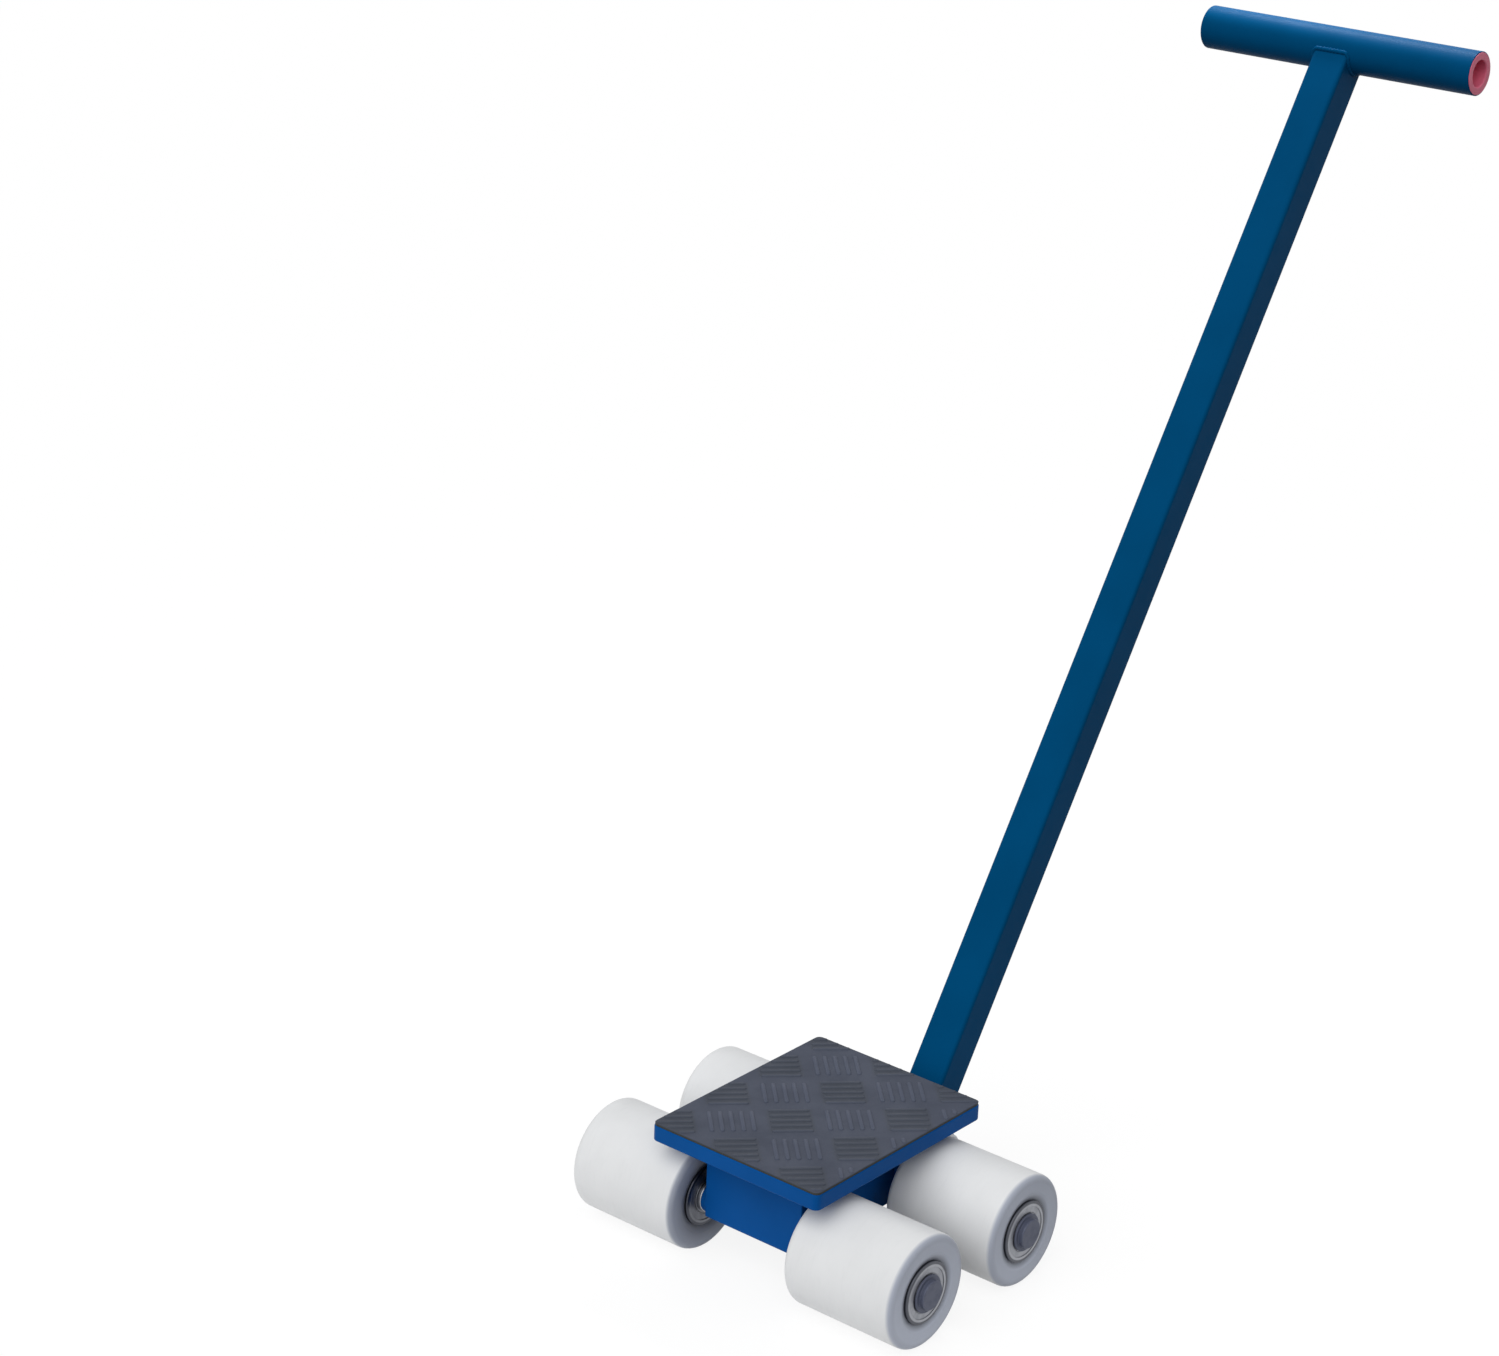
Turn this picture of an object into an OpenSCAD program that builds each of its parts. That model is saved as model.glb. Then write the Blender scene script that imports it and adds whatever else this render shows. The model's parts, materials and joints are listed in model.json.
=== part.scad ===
// Machine skate: four plastic rollers under a welded frame, a load plate on a turntable, a tilting drawbar
// Origin on the floor under the middle of the skate, X along the axles, Y towards the drawbar, Z up

/* [Rollers] */
// Diameter of a roller
roller_d = 85; // [78:1:90]
// Length of a roller
roller_len = 95; // [80:1:110]
// Radius of the rounded edges of a roller
roller_edge = 5; // [2:0.5:8]
// Distance between the front and the rear axle
axle_pitch = 116; // [108:1:140]
// Depth of the round recess in each end of a roller
hub_recess = 4; // [2:0.5:6]
// Width of the recess round the bearing
hub_recess_rim = 4; // [1:0.5:5]

/* [Roller bearings] */
// Outer diameter of a ball bearing
bearing_od = 47; // [45:0.5:48]
// Width of a ball bearing
bearing_w = 14; // [12.5:0.5:18]
// Diameter of its balls
ball_d = 8.7; // [8:0.1:9]
// Number of its balls
ball_count = 7; // [6:1:8]
// How far the bearings' faces lie inside the rollers' ends
bearing_inset = 0; // [0:0.5:2]
// Thickness of its sheet steel shields
shield_t = 0.6; // [0.4:0.1:0.8]
// Height of the ball grooves' shoulders above their floors
shoulder_h = 1.8; // [1.4:0.1:2.2]

/* [Axles] */
// Diameter of the axles
axle_d = 17; // [15:0.5:17.5]
// Outer diameter of the welded collars round the axles
boss_d = 23; // [21:0.5:23]
// Length of these collars
boss_len = 5; // [3:0.5:7]
// Outer diameter of the spacers and sleeves on the axles
spacer_d = 24; // [22:0.5:25]
// Space between a collar and the end of its roller
roller_gap = 3; // [2:0.5:5]
// Diameter of the flange of the plugs in the axle ends
plug_flange_d = 30; // [28:0.5:34]
// Thickness of this flange
plug_flange_t = 1.5; // [1:0.5:3]
// Diameter of the plugs' round heads
plug_head_d = 22; // [16:0.5:26]
// Height of a head above its flange
plug_head_t = 3.5; // [2:0.5:6]
// Diameter of the plugs' shanks, pressed into the drilled axles
plug_shank_d = 10; // [8:0.5:11]
// Length of a shank
plug_shank_len = 25; // [16:1:30]

/* [Frame] */
// Length of the two cross beams
beam_len = 88; // [84:1:96]
// Thickness of a beam from front to back
beam_t = 25; // [24:1:30]
// Height of a beam
beam_h = 45.5; // [43:0.5:52]
// How far the beams reach below the middle of the axles
beam_drop = 10; // [10:0.5:14]
// Radius of the beams' long edges
beam_edge = 2; // [1:0.5:3]
// Distance of the side plates' outsides from the beams' ends
side_inset = 4; // [4:0.5:6]
// Thickness of a side plate
side_t = 6; // [4:0.5:6]
// Thickness of the deck
deck_t = 8; // [6:0.5:10]
// Leg length of the fillet welds on the frame
weld_leg = 3.5; // [2:0.5:4]

/* [Turntable] */
// Distance of the thrust washers' edge from the deck's edge
thrust_margin = 1; // [0.5:0.5:3]
// Width of the thrust washers from their edge to the ring that turns in the deck
thrust_band = 11.5; // [11:0.5:13]
// Wall thickness of this ring
spigot_wall = 6; // [4:0.5:8]
// Length of the ring below its keeper's circlip
spigot_tail = 3; // [2:0.5:5]
// Height of the whole thrust bearing
thrust_h = 15; // [14:0.5:17]
// Thickness of one thrust washer
thrust_t = 5; // [4:0.5:5]
// Diameter of the thrust balls
thrust_ball_d = 8; // [7.5:0.1:8.4]
// Number of thrust balls
thrust_ball_count = 20; // [12:1:22]
// Width of the keeper ring under the deck
keeper_w = 5.5; // [3.5:0.5:5.5]
// Thickness of the keeper ring
keeper_t = 4; // [3:0.5:6]
// Thickness of the circlip under it
circlip_t = 2; // [1.5:0.5:2.5]
// Width of the circlip's band
circlip_w = 4; // [3:0.5:4.5]
// Depth of the circlip's groove
circlip_groove = 1.5; // [1:0.25:2]

/* [Load plate] */
// Width of the load plate along the axles
plate_w = 152; // [130:1:156]
// Length of the load plate
plate_l = 190; // [170:1:192]
// Thickness of the steel plate
plate_t = 12; // [8:0.5:20]
// Radius of the plate's corners
plate_corner = 5; // [4:0.5:20]
// Thickness of the rubber mat without its tread
mat_t = 2.2; // [1.5:0.1:5]
// Height of the tread on the mat
tread_h = 0.8; // [0.5:0.1:1.5]
// Distance of the mat's edge from the plate's edge
mat_inset = 0.5; // [0:0.5:5]
// Distance between like groups of tread bars
tread_pitch = 60; // [54:1:70]
// How far the tread's pattern lies off the middle, towards the left and the rear
tread_offset = 5; // [-15:1:15]
// Number of bars in a group
tread_bars = 5; // [3:1:5]
// Length of a tread bar
bar_len = 30; // [20:1:33]
// Width of a tread bar
bar_w = 3.4; // [2:0.1:5]
// Distance between the bars of a group
bar_pitch = 7.6; // [6:0.1:8]

/* [Drawbar bracket] */
// Distance of the drawbar's pin behind the rear beam
ear_reach = 47.5; // [44:0.5:56]
// Height of the pin above the beams' lower edge
pivot_h = 9.5; // [9:0.5:14]
// Width of the two ears
ear_w = 28; // [26:0.5:34]
// Thickness of an ear
ear_t = 8; // [5:0.5:10]
// Diameter of the pin
pin_d = 16; // [12:0.5:18]
// Diameter of the pin's head
pin_head_d = 24; // [22:0.5:28]
// Thickness of the pin's head
pin_head_t = 5; // [3:0.5:7]
// Length of the pin beyond its last washer
pin_tail = 16.5; // [12:0.5:20]
// Outer diameter of the washers on the pin
pin_washer_d = 27; // [24:0.5:30]
// Thickness of these washers
pin_washer_t = 2.5; // [1.5:0.5:3]
// Diameter of the split pin
split_d = 4; // [3:0.5:5]

/* [Drawbar] */
// Length of the drawbar from its pin to the middle of the cross tube
drawbar_len = 895; // [600:5:1100]
// Angle at which the drawbar leans back from upright
drawbar_lean = 32.2; // [25:0.1:60]
// Side of the square tube
tube_w = 30; // [24:1:30]
// Wall of the square tube
tube_wall = 1; // [1:0.25:3]
// Outer radius of the square tube's corners
tube_corner = 3; // [1:0.5:4]
// How much wider the sleeve on the pin is than the square tube
sleeve_over = 1; // [0.5:0.5:4]
// Length of this sleeve
sleeve_len = 36; // [30:1:44]
// Outer diameter of the cross tube
grip_d = 33.7; // [30:0.1:42.4]
// Wall of the cross tube
grip_wall = 1.5; // [1:0.1:4]
// Length of the cross tube
grip_len = 238; // [180:1:320]
// Thickness of the drawbar's weld beads
bead_t = 2; // [1.5:0.5:3]
// Thickness of the plastic caps' rims
cap_rim = 0.5; // [0.5:0.5:4]
// Depth of the plastic caps inside the tube
cap_depth = 16; // [10:1:25]
// Wall of the plastic caps
cap_wall = 5; // [1.5:0.5:6]

/* [Clearances] */
// Radial play of pressed or welded seats
seat_play = 0.02; // [0.01:0.01:0.04]
// Radial play of turning fits
running_play = 0.05; // [0.03:0.01:0.09]
// Gap between faces that turn past each other
face_play = 0.3; // [0.25:0.05:0.5]

/* [Hidden] */
$fn = 96;
// Overlap of cutting bodies beyond the faces that they cut
cut = 1;
LEFT = -1;
RIGHT = 1;
FRONT = -1;
REAR = 1;

// Heights
axle_z = roller_d / 2;
beam_low = axle_z - beam_drop;
deck_top = beam_low + beam_h;
deck_low = deck_top - deck_t;
plate_low = deck_top + thrust_h;
plate_top = plate_low + plate_t;
keeper_top = deck_low - face_play;
circlip_top = keeper_top - keeper_t;
spigot_low = circlip_top - circlip_t - spigot_tail;

// Places along the axles, counted outwards from the middle
boss_end = beam_len / 2 + boss_len;
roller_in = boss_end + roller_gap;
roller_out = roller_in + roller_len;
inner_bearing = roller_in + bearing_inset;
outer_bearing = roller_out - bearing_inset - bearing_w;
axle_end = outer_bearing + bearing_w;
bearing_starts = [inner_bearing, outer_bearing];

// Roller bearings
hub_recess_d = bearing_od + 2 * hub_recess_rim;
ball_path_r = (axle_d + bearing_od) / 4;
groove_r = ball_d / 2 + running_play;
inner_shoulder_r = ball_path_r - groove_r + shoulder_h;
outer_shoulder_r = ball_path_r + groove_r - shoulder_h;
shield_lip = 0.8;
shield_seat_r = outer_shoulder_r + shield_lip;
shield_inset = 0.3;
cage_t = 2.6;
cage_edge = 0.8;
cage_w = ball_d + 2 * cage_edge;

// Thrust bearing, its washers as wide as the deck, and the ring in its middle
sides_w = beam_len - 2 * side_inset;
thrust_od = sides_w - 2 * thrust_margin;
spigot_d = thrust_od - 2 * thrust_band;
keeper_d = spigot_d + 2 * keeper_w;
thrust_path_r = (spigot_d + thrust_od) / 4;
thrust_groove_r = thrust_ball_d / 2 + running_play;
thrust_mid = deck_top + thrust_h / 2;
thrust_cage_play = 0.5;
thrust_cage_w = 2 * (thrust_path_r - spigot_d / 2 - thrust_cage_play);
thrust_cage_t = thrust_h - 2 * thrust_t - 4 * face_play;

// Bracket and drawbar
sleeve_d = tube_w + sleeve_over;
beam_back = axle_pitch / 2 + beam_t / 2;
beam_face = axle_pitch / 2 - beam_t / 2;
pivot_y = beam_back + ear_reach;
pivot_z = beam_low + pivot_h;
ear_in = sleeve_len / 2 + face_play + pin_washer_t;
ear_out = ear_in + ear_t;
pin_end = ear_out + pin_washer_t + pin_tail;
split_x = ear_out + pin_washer_t + 2 * split_d;

module rounded_rect(w, l, r) {
    square([w - 2 * r, l], center = true);
    square([w, l - 2 * r], center = true);
    for (sx = [-1, 1], sy = [-1, 1])
        translate([sx * (w / 2 - r), sy * (l / 2 - r)]) circle(r);
}

module ring(d_out, d_in, h) {
    difference() {
        cylinder(d = d_out, h = h);
        translate([0, 0, -cut]) cylinder(d = d_in, h = h + 2 * cut);
    }
}

// A solid round bar along X, from x0 to x1
module x_bar(d, x0, x1) {
    translate([x0, 0, 0]) rotate([0, 90, 0]) cylinder(d = d, h = x1 - x0);
}

// An outline in the Y-Z plane, extruded from x0 to x1
module x_extrude(x0, x1) {
    translate([x0, 0, 0]) rotate([90, 0, 90]) linear_extrude(height = x1 - x0) children();
}

// Turns a shape built along +Z outwards along the axle of one roller
module on_axle(side, row) {
    translate([0, row * axle_pitch / 2, axle_z]) rotate([0, side * 90, 0]) children();
}

module on_every_axle_end() {
    for (side = [LEFT, RIGHT], row = [FRONT, REAR]) on_axle(side, row) children();
}

// A ring of balls round the Z axis
module ball_ring(path_r, d, count) {
    for (i = [0 : count - 1])
        rotate([0, 0, i * 360 / count]) translate([path_r, 0, 0]) sphere(d = d);
}

// A groove that the balls run in, as the body to cut away
module ball_groove(path_r, r) {
    rotate_extrude() translate([path_r, 0]) circle(r);
}

module roller_profile() {
    r = roller_d / 2;
    difference() {
        union() {
            square([r - roller_edge, roller_len]);
            translate([0, roller_edge]) square([r, roller_len - 2 * roller_edge]);
            for (y = [roller_edge, roller_len - roller_edge])
                translate([r - roller_edge, y]) circle(roller_edge);
        }
        translate([-cut, -cut]) square([outer_shoulder_r + cut, roller_len + 2 * cut]);
        for (y = [-cut, roller_len - bearing_inset - bearing_w])
            translate([-cut, y])
                square([bearing_od / 2 + seat_play + cut, bearing_inset + bearing_w + cut]);
        for (y = [-cut, roller_len - hub_recess])
            translate([-cut, y]) square([hub_recess_d / 2 + cut, hub_recess + cut]);
    }
}

module roller(side, row) {
    color("whitesmoke") on_axle(side, row)
        translate([0, 0, roller_in]) rotate_extrude() roller_profile();
}

module outer_ring() {
    difference() {
        ring(bearing_od, 2 * outer_shoulder_r, bearing_w);
        translate([0, 0, bearing_w / 2]) ball_groove(ball_path_r, groove_r);
        for (z = [-cut, bearing_w - shield_inset - shield_t])
            translate([0, 0, z])
                cylinder(r = shield_seat_r + seat_play, h = shield_inset + shield_t + cut);
    }
}

module inner_ring() {
    difference() {
        ring(2 * inner_shoulder_r, axle_d + 2 * seat_play, bearing_w);
        translate([0, 0, bearing_w / 2]) ball_groove(ball_path_r, groove_r);
    }
}

module outer_rings(side, row) {
    color("silver") on_axle(side, row)
        for (z = bearing_starts) translate([0, 0, z]) outer_ring();
}

module shields(side, row) {
    color("lightgray") on_axle(side, row)
        for (z = bearing_starts, face = [shield_inset, bearing_w - shield_inset - shield_t])
            translate([0, 0, z + face])
                ring(2 * shield_seat_r, 2 * (inner_shoulder_r + face_play), shield_t);
}

module balls(side, row) {
    color("gainsboro") on_axle(side, row)
        for (z = bearing_starts)
            translate([0, 0, z + bearing_w / 2]) ball_ring(ball_path_r, ball_d, ball_count);
}

module cages(side, row) {
    color("goldenrod") on_axle(side, row)
        for (z = bearing_starts)
            translate([0, 0, z + bearing_w / 2]) difference() {
                translate([0, 0, -cage_w / 2])
                    ring(2 * ball_path_r + cage_t, 2 * ball_path_r - cage_t, cage_w);
                for (i = [0 : ball_count - 1])
                    rotate([0, 90, i * 360 / ball_count]) translate([0, 0, ball_path_r - cage_t])
                        cylinder(r = groove_r, h = 2 * cage_t);
            }
}

module inner_rings() {
    color("silver") on_every_axle_end()
        for (z = bearing_starts) translate([0, 0, z]) inner_ring();
}

module axle(row) {
    color("slategray") translate([0, row * axle_pitch / 2, axle_z]) difference() {
        x_bar(axle_d, -axle_end, axle_end);
        for (side = [LEFT, RIGHT])
            translate([side * axle_end, 0, 0]) rotate([0, -side * 90, 0])
                translate([0, 0, -cut])
                    cylinder(d = plug_shank_d + 2 * seat_play, h = plug_shank_len + cut);
    }
}

module axle_spacers() {
    color("gray") on_every_axle_end()
        translate([0, 0, boss_end])
            ring(spacer_d, axle_d + 2 * seat_play, inner_bearing - boss_end);
}

module spacer_sleeves() {
    color("gray") on_every_axle_end()
        translate([0, 0, inner_bearing + bearing_w])
            ring(spacer_d, axle_d + 2 * seat_play, outer_bearing - inner_bearing - bearing_w);
}

// Flanged plugs that close the axle ends and hold the bearings on
module axle_end_plugs() {
    top = plug_flange_t + plug_head_t;
    color("dimgray") on_every_axle_end()
        translate([0, 0, axle_end]) rotate_extrude()
            polygon([[0, -plug_shank_len], [plug_shank_d / 2, -plug_shank_len],
                [plug_shank_d / 2, 0], [plug_flange_d / 2, 0], [plug_flange_d / 2, plug_flange_t],
                [plug_head_d / 2, plug_flange_t], [plug_head_d / 2, top], [0, top]]);
}

module beam(row) {
    color("royalblue") translate([0, row * axle_pitch / 2, 0]) difference() {
        translate([0, 0, beam_low + beam_h / 2])
            x_extrude(-beam_len / 2, beam_len / 2) rounded_rect(beam_t, beam_h, beam_edge);
        translate([0, 0, axle_z])
            x_bar(axle_d + 2 * seat_play, -beam_len / 2 - cut, beam_len / 2 + cut);
    }
}

module axle_bosses() {
    color("royalblue") on_every_axle_end()
        translate([0, 0, beam_len / 2]) ring(boss_d, axle_d + 2 * seat_play, boss_len);
}

module side_plate(side) {
    x0 = side == LEFT ? -sides_w / 2 : sides_w / 2 - side_t;
    color("royalblue") translate([x0, -beam_face, beam_low])
        cube([side_t, 2 * beam_face, deck_low - beam_low]);
}

module deck_plate() {
    color("royalblue") translate([0, 0, deck_low]) difference() {
        translate([-sides_w / 2, -beam_face, 0]) cube([sides_w, 2 * beam_face, deck_t]);
        translate([0, 0, -cut]) cylinder(d = spigot_d + 2 * running_play, h = deck_t + 2 * cut);
    }
}

module ear(side) {
    x0 = side == LEFT ? -ear_out : ear_in;
    color("royalblue") difference() {
        x_extrude(x0, x0 + ear_t) {
            translate([beam_back, pivot_z - ear_w / 2]) square([ear_reach, ear_w]);
            translate([pivot_y, pivot_z]) circle(ear_w / 2);
        }
        translate([0, pivot_y, pivot_z])
            x_bar(pin_d + 2 * running_play, x0 - cut, x0 + ear_t + cut);
    }
}

// A triangular bead that stands in the corner between the +X and the +Y face
module corner_bead(leg, h) {
    linear_extrude(height = h) polygon([[0, 0], [leg, 0], [0, leg]]);
}

module frame_welds() {
    ear_bead_low = max(beam_low + beam_edge, pivot_z - ear_w / 2);
    ear_bead_h = pivot_z + ear_w / 2 - ear_bead_low;
    color("royalblue") {
        for (side = [LEFT, RIGHT]) {
            translate([side * ear_out, beam_back, ear_bead_low])
                mirror([side == LEFT ? 1 : 0, 0, 0]) corner_bead(weld_leg, ear_bead_h);
            translate([side * ear_in, beam_back, ear_bead_low])
                mirror([side == LEFT ? 0 : 1, 0, 0]) corner_bead(weld_leg, ear_bead_h);
            for (row = [FRONT, REAR])
                translate([side * sides_w / 2, row * beam_face, beam_low + beam_edge])
                    mirror([side == LEFT ? 1 : 0, 0, 0]) mirror([0, row == REAR ? 1 : 0, 0])
                        corner_bead(weld_leg, beam_h - 2 * beam_edge);
        }
    }
}

module load_plate() {
    color("royalblue") translate([0, 0, plate_low])
        linear_extrude(height = plate_t) rounded_rect(plate_w, plate_l, plate_corner);
}

// One group of parallel tread bars with round ends, lying along X
module tread_group() {
    for (i = [0 : tread_bars - 1])
        translate([0, (i - (tread_bars - 1) / 2) * bar_pitch]) {
            square([bar_len - bar_w, bar_w], center = true);
            for (end = [-1, 1]) translate([end * (bar_len - bar_w) / 2, 0]) circle(d = bar_w);
        }
}

// Groups at 45 degrees to the plate's sides, every second one turned by a right angle
module tread() {
    columns = ceil(plate_w / tread_pitch / 2);
    rows = ceil(plate_l / tread_pitch / 2);
    for (turned = [0, 1], i = [-columns : columns - 1], j = [-rows : rows - 1])
        translate([(i + turned / 2) * tread_pitch - tread_offset,
                (j + (1 + turned) / 2) * tread_pitch + tread_offset])
            rotate(45 + turned * 90) tread_group();
}

module rubber_mat() {
    corner = plate_corner - mat_inset;
    color("darkslategray") translate([0, 0, plate_top]) {
        linear_extrude(height = mat_t)
            rounded_rect(plate_w - 2 * mat_inset, plate_l - 2 * mat_inset, corner);
        translate([0, 0, mat_t]) linear_extrude(height = tread_h) intersection() {
            tread();
            rounded_rect(plate_w - 2 * mat_inset, plate_l - 2 * mat_inset, corner);
        }
    }
}

module spigot() {
    color("steelblue") difference() {
        translate([0, 0, spigot_low])
            ring(spigot_d, spigot_d - 2 * spigot_wall, plate_low - spigot_low);
        translate([0, 0, circlip_top - circlip_t])
            ring(spigot_d + 2 * cut, spigot_d - 2 * circlip_groove, circlip_t);
    }
}

module thrust_washer(z, bore) {
    color("silver") difference() {
        translate([0, 0, z]) ring(thrust_od, bore, thrust_t);
        translate([0, 0, thrust_mid]) ball_groove(thrust_path_r, thrust_groove_r);
    }
}

module thrust_balls() {
    color("gainsboro") translate([0, 0, thrust_mid])
        ball_ring(thrust_path_r, thrust_ball_d, thrust_ball_count);
}

module thrust_cage() {
    color("goldenrod") translate([0, 0, thrust_mid]) difference() {
        translate([0, 0, -thrust_cage_t / 2])
            ring(2 * thrust_path_r + thrust_cage_w, 2 * thrust_path_r - thrust_cage_w, thrust_cage_t);
        for (i = [0 : thrust_ball_count - 1])
            rotate([0, 0, i * 360 / thrust_ball_count]) translate([thrust_path_r, 0, -thrust_cage_t])
                cylinder(r = thrust_groove_r, h = 2 * thrust_cage_t);
    }
}

module keeper_ring() {
    color("gray") translate([0, 0, circlip_top])
        ring(keeper_d, spigot_d + 2 * seat_play, keeper_t);
}

module keeper_circlip() {
    inner_r = spigot_d / 2 - circlip_groove + seat_play;
    lug_d = circlip_w + 1.5;
    lug_angle = 9;
    color("dimgray") translate([0, 0, circlip_top - circlip_t]) difference() {
        union() {
            rotate([0, 0, lug_angle]) rotate_extrude(angle = 360 - 2 * lug_angle)
                translate([inner_r, 0]) square([circlip_w, circlip_t]);
            for (a = [-lug_angle, lug_angle])
                rotate([0, 0, a]) translate([inner_r + lug_d / 2 + circlip_groove, 0, 0])
                    cylinder(d = lug_d, h = circlip_t);
        }
        for (a = [-lug_angle, lug_angle])
            rotate([0, 0, a]) translate([inner_r + lug_d / 2 + circlip_groove, 0, -cut])
                cylinder(d = lug_d / 2, h = circlip_t + 2 * cut);
    }
}

// Turns a shape built upwards from the pin into the drawbar's leaning place
module on_drawbar() {
    translate([0, pivot_y, pivot_z]) rotate([-drawbar_lean, 0, 0]) children();
}

module handle_tube() {
    inner_corner = max(0.5, tube_corner - tube_wall);
    color("teal") on_drawbar() difference() {
        linear_extrude(height = drawbar_len) difference() {
            rounded_rect(tube_w, tube_w, tube_corner);
            rounded_rect(tube_w - 2 * tube_wall, tube_w - 2 * tube_wall, inner_corner);
        }
        x_bar(sleeve_d + 2 * seat_play, -tube_w, tube_w);
        translate([0, 0, drawbar_len]) x_bar(grip_d + 2 * seat_play, -tube_w, tube_w);
    }
}

module pivot_sleeve() {
    color("teal") on_drawbar() difference() {
        x_bar(sleeve_d, -sleeve_len / 2, sleeve_len / 2);
        x_bar(pin_d + 2 * running_play, -sleeve_len / 2 - cut, sleeve_len / 2 + cut);
    }
}

module tee_bar() {
    color("teal") on_drawbar() translate([0, 0, drawbar_len]) difference() {
        x_bar(grip_d, -grip_len / 2, grip_len / 2);
        x_bar(grip_d - 2 * grip_wall, -grip_len / 2 - cut, grip_len / 2 + cut);
    }
}

// A bead round the square tube where it meets a round one of diameter d, towards +Z of that tube
module saddle_bead(d) {
    w = tube_w + 2 * bead_t;
    difference() {
        intersection() {
            x_bar(d + 2 * bead_t, -w / 2, w / 2);
            linear_extrude(height = d) rounded_rect(w, w, tube_corner + bead_t);
        }
        x_bar(d + 2 * seat_play, -w, w);
        translate([0, 0, -cut]) linear_extrude(height = 2 * d)
            rounded_rect(tube_w + 2 * seat_play, tube_w + 2 * seat_play, tube_corner);
    }
}

module drawbar_welds() {
    color("teal") on_drawbar() {
        saddle_bead(sleeve_d);
        translate([0, 0, drawbar_len]) rotate([180, 0, 0]) saddle_bead(grip_d);
    }
}

module grip_cap(side) {
    plug_d = grip_d - 2 * grip_wall - 2 * seat_play;
    color("crimson") on_drawbar() translate([side * grip_len / 2, 0, drawbar_len])
        rotate([0, side * 90, 0]) difference() {
            union() {
                cylinder(d = grip_d, h = cap_rim);
                translate([0, 0, -cap_depth]) cylinder(d = plug_d, h = cap_depth);
            }
            translate([0, 0, cap_wall - cap_depth])
                cylinder(d = plug_d - 2 * cap_wall, h = cap_depth + cap_rim + cut);
        }
}

module pivot_pin() {
    color("darkgray") translate([0, pivot_y, pivot_z]) difference() {
        union() {
            x_bar(pin_d, -pin_end, ear_out + cut);
            x_bar(pin_head_d, ear_out, ear_out + pin_head_t);
        }
        translate([-split_x, 0, -pin_d]) cylinder(d = split_d + 2 * running_play, h = 2 * pin_d);
    }
}

module pivot_washers() {
    color("lightgray") translate([0, pivot_y, pivot_z])
        for (x = [-ear_out - pin_washer_t, -ear_in, ear_in - pin_washer_t])
            translate([x, 0, 0]) rotate([0, 90, 0])
                ring(pin_washer_d, pin_d + 2 * running_play, pin_washer_t);
}

module split_pin() {
    eye_r = split_d * 0.9;
    leg_len = split_d * 1.6;
    shaft = pin_d + split_d;
    color("dimgray") translate([-split_x, pivot_y, pivot_z]) {
        translate([0, 0, -shaft / 2]) cylinder(d = split_d, h = shaft);
        translate([0, 0, shaft / 2 + eye_r]) rotate([0, 90, 0])
            rotate_extrude() translate([eye_r, 0]) circle(split_d * 0.35);
        for (a = [-35, 35])
            translate([0, 0, -shaft / 2]) rotate([180 + a, 0, 0]) cylinder(d = split_d / 2, h = leg_len);
    }
}

load_plate();
rubber_mat();
spigot();
thrust_washer(plate_low - thrust_t, spigot_d + 2 * seat_play);  // thrust_washer_top
thrust_washer(deck_top, spigot_d + 2 * face_play);  // thrust_washer_bottom
thrust_balls();
thrust_cage();
keeper_ring();
keeper_circlip();
beam(FRONT);  // front_beam
beam(REAR);  // rear_beam
side_plate(LEFT);  // left_side_plate
side_plate(RIGHT);  // right_side_plate
deck_plate();
axle_bosses();
ear(LEFT);  // left_ear
ear(RIGHT);  // right_ear
frame_welds();
axle(FRONT);  // front_axle
axle(REAR);  // rear_axle
axle_spacers();
spacer_sleeves();
inner_rings();
axle_end_plugs();
roller(LEFT, FRONT);  // roller_fl
outer_rings(LEFT, FRONT);  // outer_rings_fl
shields(LEFT, FRONT);  // shields_fl
balls(LEFT, FRONT);  // balls_fl
cages(LEFT, FRONT);  // cages_fl
roller(RIGHT, FRONT);  // roller_fr
outer_rings(RIGHT, FRONT);  // outer_rings_fr
shields(RIGHT, FRONT);  // shields_fr
balls(RIGHT, FRONT);  // balls_fr
cages(RIGHT, FRONT);  // cages_fr
roller(LEFT, REAR);  // roller_rl
outer_rings(LEFT, REAR);  // outer_rings_rl
shields(LEFT, REAR);  // shields_rl
balls(LEFT, REAR);  // balls_rl
cages(LEFT, REAR);  // cages_rl
roller(RIGHT, REAR);  // roller_rr
outer_rings(RIGHT, REAR);  // outer_rings_rr
shields(RIGHT, REAR);  // shields_rr
balls(RIGHT, REAR);  // balls_rr
cages(RIGHT, REAR);  // cages_rr
handle_tube();
pivot_sleeve();
tee_bar();
drawbar_welds();
grip_cap(LEFT);  // left_cap
grip_cap(RIGHT);  // right_cap
pivot_pin();
pivot_washers();
split_pin();
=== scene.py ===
import json
import math

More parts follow.
